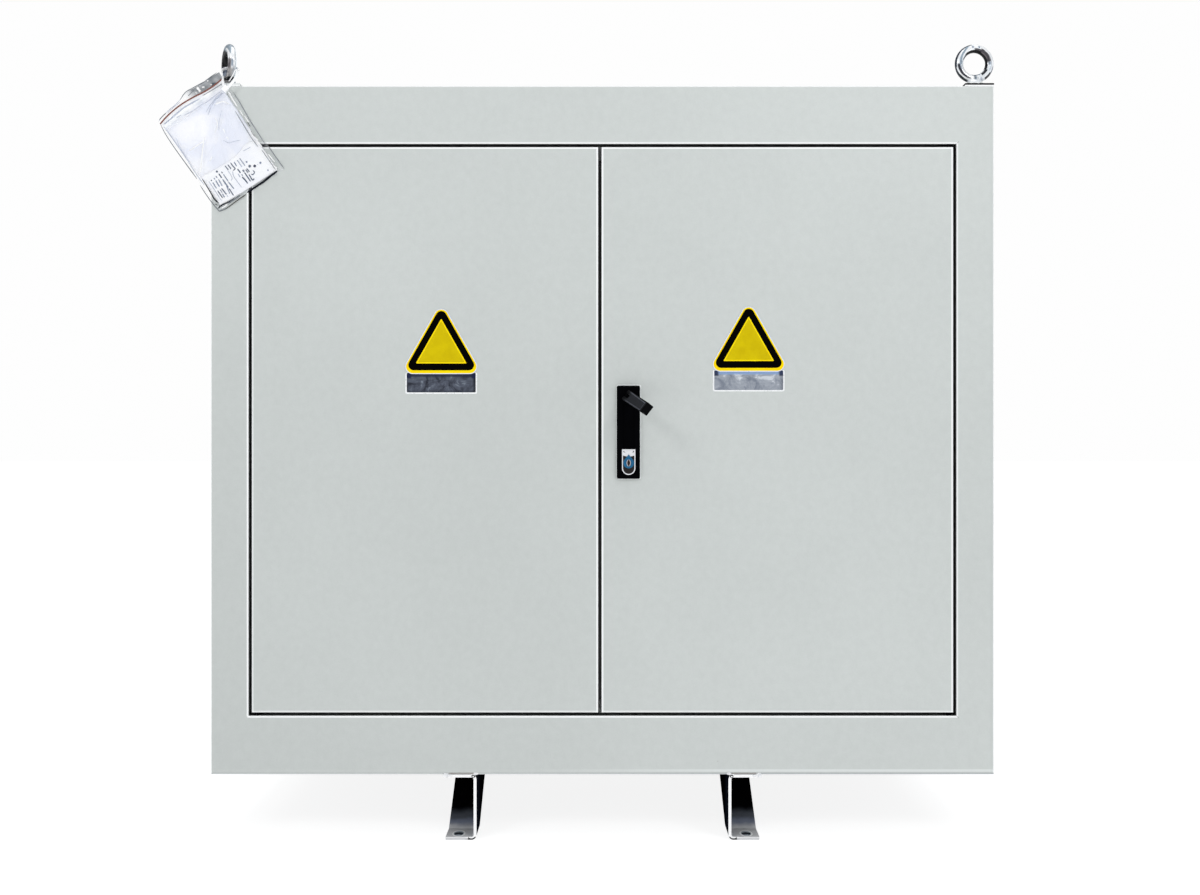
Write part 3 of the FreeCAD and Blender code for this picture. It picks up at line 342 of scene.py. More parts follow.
def foot_metal():
    """Bent plate, bright zinc: ground front edges, a painted highlight ring round the hole, painted shade and
    reflection from black at the top down to blue and silver.
    """
    f = Finish("foot_zinc")
    x, y, z = f.axes()
    nx, ny, nz = f.normal()
    ax, ay = f.math("ABSOLUTE", x), f.math("ABSOLUTE", y)
    streak = f.noise(60.0, 4.0, 0.6, 0.4, f.scaled(1.0, 1.0, 0.25))
    level = f.math("ADD", z, f.span(f.noise(30.0, 3.0, 0.6), 0.3, 0.7, -0.0012, 0.0012))
    silver = f.mix(streak, srgb(192, 193, 196), srgb(224, 225, 227))
    blue = f.mix(streak, srgb(118, 125, 145), srgb(142, 149, 168))
    coal = f.mix(streak, srgb(78, 83, 91), srgb(98, 103, 112))
    black = f.mix(streak, srgb(4, 4, 6), srgb(12, 12, 14))
    # painted shade and reflection: black high up under the housing, through coal and blue, to silver low down
    colour = f.mix(f.span(level, 0.0050, 0.0125), silver, blue)
    colour = f.mix(f.span(level, 0.0120, 0.0180), colour, coal)
    colour = f.mix(f.span(level, 0.0190, 0.0285), colour, black)
    # painted shade: black on the side next to the web, blue-black on the outside of the web, black on the underside of
    # its bend
    colour = f.paint(colour, srgb(1, 1, 2), 0.85, f.within(ax, 0.1970, 0.2005, 0.0008), f.span(z, 0.010, 0.018))
    outer = f.span(ax, 0.1948, 0.1958, 1.0, 0.0)
    colour = f.mix(outer, colour, f.mix(f.span(ay, 0.265, 0.325), srgb(1, 1, 2), srgb(14, 17, 25)))
    colour = f.paint(colour, srgb(8, 8, 10), 0.97, f.span(nz, -0.75, -0.30, 1.0, 0.0),
                     f.span(ax, 0.2020, 0.2060, 1.0, 0.0))
    # broad near-white ring round the anchor hole as a painted highlight, painted shade inside it and on the dark wall
    # of the hole
    px, py = f.math("SUBTRACT", ax, 0.222), f.math("SUBTRACT", ay, 0.330)
    away = f.math("SQRT", f.math("ADD", f.math("MULTIPLY", px, px), f.math("MULTIPLY", py, py)))
    ex, ey = f.math("DIVIDE", px, 0.0092), f.math("DIVIDE", py, 0.0165)
    oval = f.math("SQRT", f.math("ADD", f.math("MULTIPLY", ex, ex), f.math("MULTIPLY", ey, ey)))
    low = f.span(z, 0.010, 0.012, 1.0, 0.0)
    colour = f.paint(colour, srgb(176, 186, 194), 0.92, low, f.span(oval, 0.84, 0.92, 1.0, 0.0))
    colour = f.paint(colour, srgb(40, 46, 54), 0.85, low, f.span(oval, 0.70, 0.84, 1.0, 0.0),
                     f.span(ay, 0.329, 0.334), f.span(f.math("ABSOLUTE", px), 0.002, 0.004))
    colour = f.paint(colour, srgb(255, 255, 255), 0.98, low, f.within(oval, 0.90, 1.08, 0.05))
    colour = f.paint(colour, srgb(14, 20, 28), 0.97, low, f.span(away, 0.0070, 0.0073, 1.0, 0.0))
    # cut front edges, with a painted shadow arc under the bend
    edge = f.both(f.span(f.math("ABSOLUTE", ny), 0.80, 0.95), f.span(ay, 0.3465, 0.3480))
    cut = f.mix(f.span(z, 0.0006, 0.0044), srgb(168, 170, 174), srgb(252, 252, 253))
    cut = f.paint(cut, srgb(214, 215, 217), 0.6, f.within(z, 0.0, 0.0048), f.span(ax, 0.206, 0.212))
    bx, bz = f.math("SUBTRACT", ax, 0.2009), f.math("SUBTRACT", z, 0.0079)
    bend = f.math("SQRT", f.math("ADD", f.math("MULTIPLY", bx, bx), f.math("MULTIPLY", bz, bz)))
    cut = f.paint(cut, srgb(8, 9, 11), 0.96, f.span(bend, 0.0056, 0.0062), f.span(z, 0.0040, 0.0052, 1.0, 0.0),
                  f.span(ax, 0.2056, 0.2062, 1.0, 0.0))
    colour = f.mix(edge, colour, cut)
    f.set("Base Color", colour)
    f.set("Metallic", f.math("MULTIPLY", edge, 0.15))
    f.set("Specular IOR Level", 0.0)
    f.set("Roughness", f.span(f.noise(90.0, 4.0, 0.6), 0.3, 0.7, 0.34, 0.50))
    f.bump((f.noise(260.0, 3.0, 0.6), 0.12, 0.0003), (streak, 0.08, 0.0005))
    return f.mat


def eye_metal():
    """Front lifting eyes: bright zinc with painted reflections, the hard dark and pale bands that a polished ring
    shows.
    """
    f = Finish("eye_polished_zinc")
    x, y, z = f.axes()
    h = f.math("SUBTRACT", z, 1.1945)
    deg = math.radians
    smear = f.noise(46.0, 3.0, 0.6, 0.5)

    def ring(along):
        rho = f.math("SQRT", f.math("ADD", f.math("MULTIPLY", along, along), f.math("MULTIPLY", h, h)))
        q = f.math("SUBTRACT", rho, 0.0235)
        return f.math("ADD", q, f.span(smear, 0.3, 0.7, -0.0003, 0.0003))

    def near(value, half, soft=0.0005):
        return f.span(f.math("ABSOLUTE", value), half - soft, half + soft, 1.0, 0.0)

    # right eye, facing the front, its bands painted reflections: phi counts from its right side, back from its left
    # side
    a = f.math("SUBTRACT", x, 0.575)
    q = ring(a)
    phi = f.math("ARCTAN2", h, a)
    back = f.math("ARCTAN2", f.math("MULTIPLY", h, -1.0), f.math("MULTIPLY", a, -1.0))

    def arc(angle, lo, hi, soft=5):
        return f.within(angle, deg(lo), deg(hi), deg(soft))

    right = f.mix(f.span(smear, 0.35, 0.65), srgb(240, 244, 248), srgb(252, 253, 254))
    drift = f.math("ADD", f.span(back, deg(-66), deg(-48), 0.0040, 0.0008, False),
                   f.span(back, deg(-48), deg(-4), 0.0, -0.0028, False))
    right = f.paint(right, srgb(136, 156, 172), 0.92, near(f.math("SUBTRACT", q, drift), 0.0015),
                    arc(back, -70, 4))
    right = f.paint(right, srgb(216, 228, 238), 0.85, f.within(q, -0.0052, -0.0034, 0.0005), arc(back, -44, 14))
    right = f.paint(right, srgb(150, 166, 178), 0.85, f.span(q, -0.0060, -0.0054, 1.0, 0.0), arc(back, -22, 10))
    taper = f.math("ADD", f.math("ABSOLUTE", f.math("SUBTRACT", q, 0.0011)),
                   f.span(back, deg(40), deg(74), 0.0, 0.0013, False))
    right = f.paint(right, srgb(38, 38, 50), 0.97, f.span(taper, 0.0017, 0.0024, 1.0, 0.0), arc(back, 2, 74, 4))
    right = f.paint(right, srgb(84, 100, 118), 0.80, f.within(q, -0.0022, -0.0004, 0.0005), arc(back, -12, 26))
    right = f.paint(right, srgb(40, 48, 62), 0.98, f.span(q, 0.0038, 0.0044), arc(back, -82, 12))
    right = f.paint(right, srgb(48, 54, 64), 0.97, f.span(q, 0.0047, 0.0052), arc(back, 8, 42))
    right = f.paint(right, srgb(36, 44, 50), 0.98, f.span(q, 0.0042, 0.0048), arc(back, 38, 68, 3))
    right = f.paint(right, srgb(50, 46, 52), 0.96, f.within(q, -0.0050, 0.0014, 0.0004), arc(phi, 4, 66))
    right = f.paint(right, srgb(56, 52, 60), 0.94, f.within(q, -0.0050, -0.0006, 0.0004), arc(phi, 60, 92))
    right = f.paint(right, srgb(108, 100, 102), 0.85, f.within(q, -0.0043, -0.0031, 0.0005), arc(phi, 20, 60))
    right = f.paint(right, srgb(112, 126, 142), 0.85, f.within(q, -0.0030, 0.0016, 0.0006), arc(phi, -6, 5, 4))
    right = f.paint(right, srgb(198, 210, 222), 0.85, f.within(q, -0.0002, 0.0022, 0.0006), arc(phi, -28, -6))
    right = f.paint(right, srgb(5, 6, 8), 0.99, f.span(q, -0.0046, -0.0040, 1.0, 0.0), arc(phi, -12, 66))
    right = f.paint(right, srgb(5, 6, 8), 0.99, f.span(q, -0.0034, -0.0028, 1.0, 0.0), arc(phi, 60, 138, 7))
    right = f.paint(right, srgb(18, 26, 32), 0.97, f.span(q, -0.0048, -0.0042, 1.0, 0.0), arc(phi, 134, 160))
    right = f.paint(right, srgb(12, 16, 24), 0.98, f.span(q, -0.0038, -0.0032, 1.0, 0.0), arc(phi, -32, -4))
    right = f.paint(right, srgb(18, 22, 30), 0.98, f.within(q, -0.0056, -0.0016, 0.0004), arc(phi, -60, -28, 3))
    for lo, hi in ((94.0, 101.0), (72.0, 78.5)):
        right = f.paint(right, srgb(112, 128, 150), 0.85, f.within(q, 0.0002, 0.0034, 0.0005), arc(phi, lo, hi, 1.5))
    right = f.paint(right, srgb(160, 172, 188), 0.85, f.span(q, 0.0052, 0.0058), arc(phi, -16, 16))
    right = f.paint(right, srgb(84, 92, 108), 0.92, f.span(q, 0.0036, 0.0044), arc(phi, -36, -10))
    right = f.paint(right, srgb(16, 19, 28), 0.98, f.span(q, 0.0026, 0.0032), arc(phi, -57, -31, 3))
    right = f.paint(right, srgb(90, 104, 120), 0.90, f.within(a, -0.0040, 0.0080, 0.0006),
                    f.within(h, -0.0188, -0.0166, 0.0004))
    right = f.paint(right, srgb(80, 94, 108), 0.90, f.within(a, -0.0016, 0.0026, 0.0006),
                    f.within(h, -0.0262, -0.0175, 0.0006))
    right = f.paint(right, srgb(176, 184, 204), 0.70, f.within(a, 0.0082, 0.0112, 0.0006),
                    f.within(h, -0.0262, -0.0220, 0.0008))
    # left eye, turned nearly edge on, its bands painted reflections
    px, py = f.math("ADD", x, 0.578), f.math("ADD", y, 0.328)
    turn = deg(26.5)
    along = f.math("SUBTRACT", f.math("MULTIPLY", px, math.sin(turn)), f.math("MULTIPLY", py, math.cos(turn)))
    off = f.math("ADD", f.math("MULTIPLY", px, math.cos(turn)), f.math("MULTIPLY", py, math.sin(turn)))
    off = f.math("ADD", off, f.span(smear, 0.3, 0.7, -0.0003, 0.0003))
    q = ring(along)
    left = f.mix(f.span(smear, 0.35, 0.65), srgb(244, 248, 251), srgb(253, 254, 255))
    left = f.paint(left, srgb(186, 197, 207), 0.88, f.span(off, 0.0034, 0.0046))
    left = f.paint(left, srgb(112, 107, 109), 0.94, f.span(off, -0.0034, -0.0018, 1.0, 0.0),
                   f.span(h, 0.0000, 0.0055, 1.0, 0.0))
    left = f.paint(left, srgb(76, 72, 76), 0.90, f.span(off, -0.0052, -0.0034, 1.0, 0.0),
                   f.within(h, -0.0150, -0.0040, 0.0035))
    left = f.paint(left, srgb(150, 148, 148), 0.90, f.span(off, 0.0010, 0.0030, 1.0, 0.0),
                   f.span(h, -0.0150, -0.0090, 1.0, 0.0))
    left = f.paint(left, srgb(132, 146, 162), 0.90, f.within(off, -0.0026, 0.0004, 0.0008),
                   f.within(h, -0.0100, 0.0010, 0.0020))
    left = f.paint(left, srgb(170, 174, 180), 0.80, f.within(off, -0.0002, 0.0030, 0.0008),
                   f.span(h, -0.0110, -0.0050, 1.0, 0.0))
    vee = f.math("SUBTRACT", f.math("ABSOLUTE", f.math("ADD", off, 0.0035)),
                 f.span(h, 0.0100, 0.0215, 0.0001, 0.0024, False))
    left = f.paint(left, srgb(146, 162, 174), 0.94, f.span(vee, 0.0, 0.0007, 1.0, 0.0), f.span(h, 0.0088, 0.0106))
    left = f.paint(left, srgb(146, 160, 172), 0.92, f.span(h, 0.0195, 0.0232))
    far = f.span(along, -0.001, 0.002, 1.0, 0.0)
    left = f.paint(left, srgb(130, 140, 156), 0.92, far, f.span(h, -0.0120, -0.0080, 1.0, 0.0))
    left = f.paint(left, srgb(76, 84, 100), 0.94, far, f.within(h, -0.0110, -0.0010, 0.002))
    left = f.paint(left, srgb(3, 3, 5), 0.99, far, f.within(h, -0.0012, 0.0215, 0.0016),
                   f.span(q, 0.002, 0.004, 1.0, 0.0))
    # painted shade: a dark band low on the left eye
    left = f.paint(left, srgb(14, 20, 27), 0.97, f.within(z, 1.1668, 1.1712, 0.0006))
    colour = f.mix(f.span(x, -0.01, 0.01), left, right)
    f.set("Base Color", colour)
    f.set("Metallic", 0.22)
    f.set("Specular IOR Level", 0.25)
    f.set("Roughness", f.span(smear, 0.3, 0.7, 0.14, 0.24))
    f.bump((f.noise(60.0, 2.0, 0.5), 0.05, 0.0004))
    return f.mat


def pad_rubber():
    """Pads under the eyes: black rubber with a painted highlight as a near-white band along their foot, the front left
    one pale over its outer part.
    """
    f = Finish("eye_pad_rubber")
    x, y, z = f.axes()
    grain = f.noise(420.0, 2.0, 0.6)
    colour = f.mix(grain, srgb(3, 3, 4), srgb(12, 12, 13))
    pale = f.mix(grain, srgb(222, 226, 225), srgb(238, 240, 240))
    colour = f.mix(f.both(f.span(x, -0.01, 0.0, 1.0, 0.0), f.span(y, -0.01, 0.0, 1.0, 0.0),
                          f.span(x, -0.5900, -0.5885)), colour, pale)
    # painted highlight: near-white along the foot of every pad
    colour = f.mix(f.span(z, 1.1566, 1.1571, 1.0, 0.0), colour, f.mix(grain, srgb(246, 248, 248), srgb(254, 254, 254)))
    f.set("Base Color", colour)
    f.set("Roughness", f.span(grain, 0.3, 0.7, 0.55, 0.72))
    f.set("Specular IOR Level", 0.04)
    f.bump((grain, 0.3, 0.0003))
    return f.mat


def polished(name, a, b, rough=(0.06, 0.16), bump=0.10):
    f = Finish(name, Metallic=1.0)
    smear = f.noise(34.0, 4.0, 0.6, 0.6)
    f.set("Base Color", f.mix(smear, a, b))
    f.set("Roughness", f.span(f.noise(70.0, 4.0, 0.65), 0.3, 0.7, rough[0], rough[1]))
    f.bump((f.noise(60.0, 2.0, 0.5), bump, 0.0004))
    return f.mat


def brushed(name, a, b, axis, rough=(0.25, 0.42), metallic=1.0):
    """Metal with fine lines along one axis."""
    f = Finish(name, Metallic=metallic)
    s = {"X": (12.0, 900.0, 900.0), "Y": (900.0, 12.0, 900.0), "Z": (900.0, 900.0, 12.0)}[axis]
    line = f.noise(1.0, 3.0, 0.6, 0.0, f.scaled(*s))
    stain = f.noise(22.0, 4.0, 0.6)
    colour = f.mix(f.math("ADD", f.math("MULTIPLY", line, 0.5), f.math("MULTIPLY", stain, 0.5)), a, b)
    f.set("Base Color", colour)
    f.set("Roughness", f.span(f.math("ADD", line, stain), 0.7, 1.3, rough[0], rough[1]))
    f.bump((line, 0.12, 0.0003))
    return f.mat


def moulded(name, a, b, rough=(0.4, 0.55), grain=500.0, strength=0.25, **sockets):
    """Moulded or textured plastic and rubber."""
    f = Finish(name, **sockets)
    f.set("Base Color", f.mix(f.noise(40.0, 4.0, 0.6), a, b))
    f.set("Roughness", f.span(f.noise(85.0, 3.0), 0.3, 0.7, rough[0], rough[1]))
    f.bump((f.noise(grain, 2.0, 0.5), strength, 0.0003), (f.noise(70.0, 2.0), 0.06, 0.0005))
    return f.mat


def lever_finish():
    """Charcoal moulding with painted highlights along its edges; its free end is black."""
    f = Finish("lever_plastic", Specular_IOR_Level=0.05)
    turn, lift = math.radians(52), math.radians(65)
    along = Vector((math.sin(turn), 0, -math.cos(turn)))
    out = Vector((0, -1, 0))
    lifted = along * math.cos(lift) + out * math.sin(lift)
    across = Vector((math.cos(turn), 0, math.sin(turn)))
    face = lifted.cross(across)
    pin = Vector((0.039, -0.3643, 0.6784))
    s = f.math("SUBTRACT", f.dot(f.here, lifted), pin.dot(lifted))
    w = f.math("SUBTRACT", f.dot(f.here, across), pin.dot(across))
    grain = f.noise(300.0, 3.0, 0.6)
    body = f.mix(grain, srgb(30, 31, 35), srgb(44, 45, 50))
    # the broad face narrows a little towards the free end, its two long edges catch the light
    upper = f.math("SUBTRACT", w, f.span(s, 0.0, 0.080, 0.0085, 0.0061, False))
    highlight_noise = f.span(f.noise(160.0, 3.0), 0.25, 0.6, 0.5, 1.0)
    # painted highlights along the two long edges and near the free end
    body = f.paint(body, srgb(104, 107, 116), 0.80, f.within(upper, -0.0016, -0.0003, 0.0004), highlight_noise)
    body = f.paint(body, srgb(92, 95, 104), 0.75, f.within(w, -0.0081, -0.0068, 0.0004), highlight_noise)
    body = f.paint(body, srgb(70, 72, 80), 0.75, f.within(s, 0.0722, 0.0743, 0.0006))
    nx, ny, nz = f.normal()
    facing = f.math("ADD", f.math("ADD", f.math("MULTIPLY", nx, face.x), f.math("MULTIPLY", ny, face.y)),
                    f.math("MULTIPLY", nz, face.z))
    # painted shade: black on every face but the broad one, along its upper edge, at its free end and near the pin
    black = srgb(1, 1, 3)
    body = f.mix(f.span(facing, 0.45, 0.75, 1.0, 0.0), body, black)
    body = f.mix(f.span(upper, -0.0003, 0.0003), body, black)
    body = f.mix(f.span(s, 0.0745, 0.0753), body, black)
    body = f.paint(body, black, 0.95, f.span(s, 0.004, 0.020, 1.0, 0.0))
    f.set("Base Color", body)
    f.set("Roughness", f.span(grain, 0.3, 0.7, 0.50, 0.64))
    f.bump((grain, 0.25, 0.0003))
    return f.mat


def sign_yellow(name, a, b):
    f = Finish(name, Specular_IOR_Level=0.08)
    f.set("Base Color", f.mix(f.span(f.noise(46.0, 4.0, 0.6), 0.3, 0.7), a, b))
    f.set("Roughness", f.span(f.noise(120.0, 3.0), 0.3, 0.7, 0.30, 0.42))
    f.bump((f.noise(240.0, 2.0), 0.10, 0.0003))
    return f.mat


def plate_metal(name, a, b, c, blotch):
    """Thin pressed aluminium with blotches of glare and dulled patches."""
    f = Finish(name, Metallic=0.85)
    line = f.noise(1.0, 3.0, 0.6, 0.0, f.scaled(60.0, 900.0, 1600.0))
    patch = f.noise(blotch, 4.0, 0.65, 0.5)
    colour = f.mix(f.span(patch, 0.36, 0.62), a, b)
    colour = f.mix(f.math("MULTIPLY", f.span(f.noise(blotch * 1.9, 3.0, 0.6), 0.55, 0.70), 0.7),
                   colour, c)
    colour = f.mix(f.math("MULTIPLY", line, 0.25), colour, a)
    f.set("Base Color", colour)
    f.set("Roughness", f.span(patch, 0.3, 0.7, 0.30, 0.52))
    f.bump((line, 0.10, 0.0003), (patch, 0.25, 0.0008))
    return f.mat


def core_sheets():
    """Stacked core sheets: fine lines across Y, varnish, a little blue and brown temper."""
    f = Finish("core_steel", Metallic=0.6)
    sheet = f.noise(1.0, 2.0, 0.6, 0.0, f.scaled(4.0, 2600.0, 4.0))
    temper = f.noise(9.0, 4.0, 0.6, 0.4)
    colour = f.mix(f.span(sheet, 0.3, 0.7), srgb(88, 91, 96), srgb(132, 135, 140))
    colour = f.mix(f.math("MULTIPLY", f.span(temper, 0.45, 0.7), 0.4), colour, srgb(96, 84, 76))
    f.set("Base Color", colour)
    f.set("Roughness", f.span(sheet, 0.3, 0.7, 0.32, 0.50))
    f.bump((sheet, 0.35, 0.0004))
    return f.mat


def cast_resin():
    """Cast resin winding: deep red-brown, slightly glossy, faint turns under the surface."""
    f = Finish("coil_resin", IOR=1.52)
    turns = f.wave(26.0, "Z", 0.8, 2.0, 1.4)
    cloud = f.noise(13.0, 4.0, 0.6)
    colour = f.mix(f.span(cloud, 0.3, 0.7), srgb(120, 44, 28), srgb(158, 62, 38))
    colour = f.mix(f.math("MULTIPLY", turns, 0.16), colour, srgb(88, 30, 20))
    f.set("Base Color", colour)
    f.set("Roughness", f.span(f.noise(50.0, 4.0), 0.3, 0.7, 0.20, 0.36))
    f.bump((turns, 0.10, 0.0010), (f.noise(180.0, 3.0), 0.12, 0.0004))
    return f.mat


def wrapped(name, a, b, pitch):
    """Varnished wrap in bands."""
    f = Finish(name, IOR=1.5)
    band = f.wave(pitch, "Z", 0.4, 2.0, 3.0)
    weave = f.noise(650.0, 2.0, 0.5)
    f.set("Base Color", f.mix(f.math("ADD", f.math("MULTIPLY", band, 0.6),
                                     f.math("MULTIPLY", weave, 0.4)), a, b))
    f.set("Roughness", f.span(weave, 0.3, 0.7, 0.38, 0.55))
    f.bump((band, 0.30, 0.0008), (weave, 0.2, 0.0003))
    return f.mat


def copper_bar():
    f = Finish("bare_copper", Metallic=1.0)
    stain = f.noise(16.0, 5.0, 0.6, 0.6)
    colour = f.mix(f.span(stain, 0.3, 0.7), srgb(190, 112, 80), srgb(222, 148, 112))
    colour = f.mix(f.math("MULTIPLY", f.span(f.noise(37.0, 4.0), 0.58, 0.72), 0.5), colour,
                   srgb(120, 66, 46))
    f.set("Base Color", colour)
    f.set("Roughness", f.span(stain, 0.3, 0.7, 0.22, 0.38))
    f.bump((f.noise(1.0, 3.0, 0.6, 0.0, f.scaled(700.0, 700.0, 40.0)), 0.10, 0.0003))
    return f.mat


def core_brass():
    """Key core: dark brown key way painted as shade in a pale lens, the rest in the colour of the ring."""
    f = Finish("key_core", Specular_IOR_Level=0.3)
    x, y, z = f.axes()
    dx, dz = f.math("ABSOLUTE", f.math("SUBTRACT", x, 0.040)), f.math("SUBTRACT", z, 0.5775)
    bow = f.math("MULTIPLY", f.math("MULTIPLY", dz, dz), 78.0)
    lens = f.math("ADD", dx, bow)
    grain = f.noise(260.0, 3.0, 0.6)
    brass = f.mix(grain, srgb(118, 84, 44), srgb(168, 130, 78))
    front = f.span(y, -0.3560, -0.3550, 1.0, 0.0)
    colour = f.mix(grain, srgb(8, 76, 118), srgb(18, 104, 146))
    colour = f.paint(colour, srgb(206, 200, 196), 0.9, f.within(lens, 0.0022, 0.0032, 0.0003))
    colour = f.paint(colour, srgb(52, 28, 18), 0.98, f.span(lens, 0.0020, 0.0025, 1.0, 0.0))
    colour = f.mix(front, brass, colour)
    f.set("Base Color", colour)
    f.set("Metallic", f.span(y, -0.3560, -0.3550, 0.1, 0.9))
    f.set("Roughness", f.span(grain, 0.3, 0.7, 0.24, 0.40))
    f.bump((grain, 0.12, 0.0002))
    return f.mat


zinc_foot = foot_metal()
chrome_eye = eye_metal()
chrome_rear = polished("rear_eye_zinc", srgb(214, 219, 226), srgb(240, 242, 245))
chrome_lock = polished("lock_chrome", srgb(222, 225, 230), srgb(250, 250, 252), (0.12, 0.22), 0.10)
chrome_lock.node_tree.nodes["Principled BSDF"].inputs["Metallic"].default_value = 0.45
screw_zinc = brushed("screw_zinc", srgb(176, 178, 182), srgb(214, 215, 217), "Z", (0.24, 0.38))
bright_bar = brushed("bright_bar", srgb(168, 170, 173), srgb(208, 209, 211), "Z", (0.22, 0.36))
brass_core = brushed("lock_brass", srgb(150, 104, 52), srgb(206, 160, 96), "Y", (0.22, 0.36))
rubber = moulded("black_rubber", srgb(4, 4, 5), srgb(13, 13, 14), (0.55, 0.72), 420.0, 0.35,
                 Specular_IOR_Level=0.08)
nylon_white = moulded("white_nylon", srgb(246, 247, 249), srgb(254, 254, 255), (0.28, 0.40), 200.0, 0.04)
handle_black = moulded("handle_black", srgb(0, 0, 1), srgb(4, 4, 7), (0.52, 0.66), 620.0, 0.16,
                       Specular_IOR_Level=0.02)
lever_grey = lever_finish()
lock_blue = moulded("lock_blue", srgb(6, 76, 120), srgb(22, 116, 158), (0.30, 0.42), 260.0, 0.10,
                    Specular_IOR_Level=0.3)
frame_dark = moulded("frame_dark_coat", srgb(70, 73, 77), srgb(92, 95, 99), (0.40, 0.55), 330.0, 0.2)
glass_board = wrapped("glass_board", srgb(176, 160, 104), srgb(206, 192, 140), 30.0)
lv_wrap = wrapped("lv_wrap", srgb(166, 136, 78), srgb(206, 178, 116), 22.0)
insulator = moulded("insulator_red", srgb(104, 26, 18), srgb(140, 40, 28), (0.22, 0.34), 200.0, 0.12)
resin = cast_resin()
sheets = core_sheets()
copper = copper_bar()

dress(coat_body, "side_panel_left", "side_panel_right", "roof_panel", "rear_cover", "gland_plate")
dress(coat_post, "centre_post")
dress(coat_frame, "front_frame")
dress(coat_door, "left_door", "right_door")
dress(coat_with_shaded_underside(), "floor_plate")
dress(zinc_foot, "foot_front_left", "foot_front_right", "foot_rear_left", "foot_rear_right")
dress(chrome_eye, "front_eye_bolts")
dress(chrome_rear, "rear_eye_bolts")
dress(screw_zinc, "panel_screws", "hex_nuts", "busbar_bolts", "tie_rods")
dress(bright_bar, "left_hinge_pins", "right_hinge_pins", "lever_pin", "latch_cam",
      "upper_latch_rod", "lower_latch_rod", "left_upper_bolt", "left_lower_bolt")
dress(pad_rubber(), "eye_bolt_pads")
dress(rubber, "core_pads", "cable_grommets", "left_door_gasket", "right_door_gasket")
dress(nylon_white, "cable_tie")
dress(handle_black, "handle_base", "handle_boss", "hinge_washers")
dress(lever_grey, "lever")
dress(chrome_lock, "lock_bezel")
dress(lock_blue, "lock_ring")
dress(core_brass(), "lock_core")
dress(brass_core, "earth_stud")
dress(frame_dark, "base_rails", "lower_yoke_clamps", "upper_yoke_clamps", "busbar_rail")
dress(sheets, "core")
dress(resin, "high_voltage_winding_1", "high_voltage_winding_2", "high_voltage_winding_3")
dress(lv_wrap, "low_voltage_windings")
dress(glass_board, "winding_spacers")
dress(copper, "low_voltage_busbars", "neutral_bar", "delta_links")
dress(insulator, "post_insulators")


# ---------------------------------------------------------------------------------------------
# mesh helper
# ---------------------------------------------------------------------------------------------
def solid(name, verts, faces, materials, picks=None, body="housing", smooth=False):
    mesh = bpy.data.meshes.new(name)
    mesh.from_pydata([tuple(v) for v in verts], [], faces)
    for m in materials:
        mesh.materials.append(m)
    if picks:
        for p, i in zip(mesh.polygons, picks):
            p.material_index = i
    bm = bmesh.new()
    bm.from_mesh(mesh)
    bmesh.ops.recalc_face_normals(bm, faces=bm.faces)
    bm.to_mesh(mesh)
    bm.free()
    if smooth:
        for p in mesh.polygons:
            p.use_smooth = True
    obj = bpy.data.objects.new(name, mesh)
    scene.collection.objects.link(obj)
    if body:
        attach(obj, body)
    return obj


# ---------------------------------------------------------------------------------------------
# sign plates: pressed plate, yellow rim, raised black band, dished yellow field, bare strip
# ---------------------------------------------------------------------------------------------
def inset_triangle(cx, z0, half, peak, side, low):
    """The triangle's corners after its sloping sides move in by side and its base by low."""
    height = peak - z0
    slope = math.hypot(half, height)
    shift = side * slope / height
    nz0 = z0 + low
    nhalf = half - shift - low * half / height
    npeak = z0 + (half - shift) * height / half
    return [(cx - nhalf, nz0), (cx + nhalf, nz0), (cx, npeak)]


def rounded(corners, radius, steps=10):
    """A closed outline with each corner rounded, starting at the first corner, anticlockwise."""
    out = []
    n = len(corners)
    for i in range(n):
        a, b, c = (Vector(corners[(i + k - 1) % n]) for k in range(3))
        u, v = (a - b).normalized(), (c - b).normalized()
        half = u.angle(v) / 2
        reach = radius / math.tan(half)
        centre = b + (u + v).normalized() * (radius / math.sin(half))
        p0, p1 = b + u * reach, b + v * reach
        a0 = math.atan2(p0.y - centre.y, p0.x - centre.x)
        a1 = math.atan2(p1.y - centre.y, p1.x - centre.x)
        while a1 < a0:
            a1 += 2 * math.pi
        for k in range(steps + 1):
            t = a0 + (a1 - a0) * k / steps
            out.append((centre.x + radius * math.cos(t), centre.y + radius * math.sin(t)))
    return out


def nested(name, rings, materials, body):
    """A relief from nested outlines of the same count: rings are (outline, y, material of the strip inside it)."""
    verts, faces, picks = [], [], []
    n = len(rings[0][0])
    for outline, y, _ in rings:
        verts += [(x * MM, y * MM, z * MM) for x, z in outline]
    for k in range(len(rings) - 1):
        for i in range(n):
            j = (i + 1) % n
            faces.append((k * n + i, k * n + j, (k + 1) * n + j, (k + 1) * n + i))
            picks.append(rings[k][2])
    last = (len(rings) - 1) * n
    faces.append(tuple(range(last, last + n)))
    picks.append(rings[-1][2])
    faces.append(tuple(reversed(range(n))))
    picks.append(rings[0][2])
    return solid(name, verts, faces, materials, picks, body)


yellow_rim = sign_yellow("sign_yellow_rim", srgb(255, 214, 0), srgb(255, 228, 0))
# painted shade: the dished field is a darker copy of the yellow of the rim and bevel
yellow_field_shaded = sign_yellow("sign_yellow_field", srgb(203, 180, 0), srgb(214, 192, 2))
yellow_bevel = sign_yellow("sign_yellow_bevel", srgb(255, 220, 0), srgb(255, 232, 10))
black_band = moulded("sign_black", srgb(0, 0, 0), srgb(4, 4, 2), (0.50, 0.62), 300.0, 0.08,
                     Specular_IOR_Level=0.02)


def rim_highlight_finish(name, a, b):
    """Bare rim of a pressed plate, painted bright as a highlight."""
    f = Finish(name, Metallic=0.2)
    highlight_noise = f.noise(120.0, 3.0, 0.6)
    f.set("Base Color", f.mix(highlight_noise, a, b))
    f.set("Roughness", f.span(highlight_noise, 0.3, 0.7, 0.24, 0.36))
    f.bump((f.noise(300.0, 2.0), 0.06, 0.0002))
    return f.mat


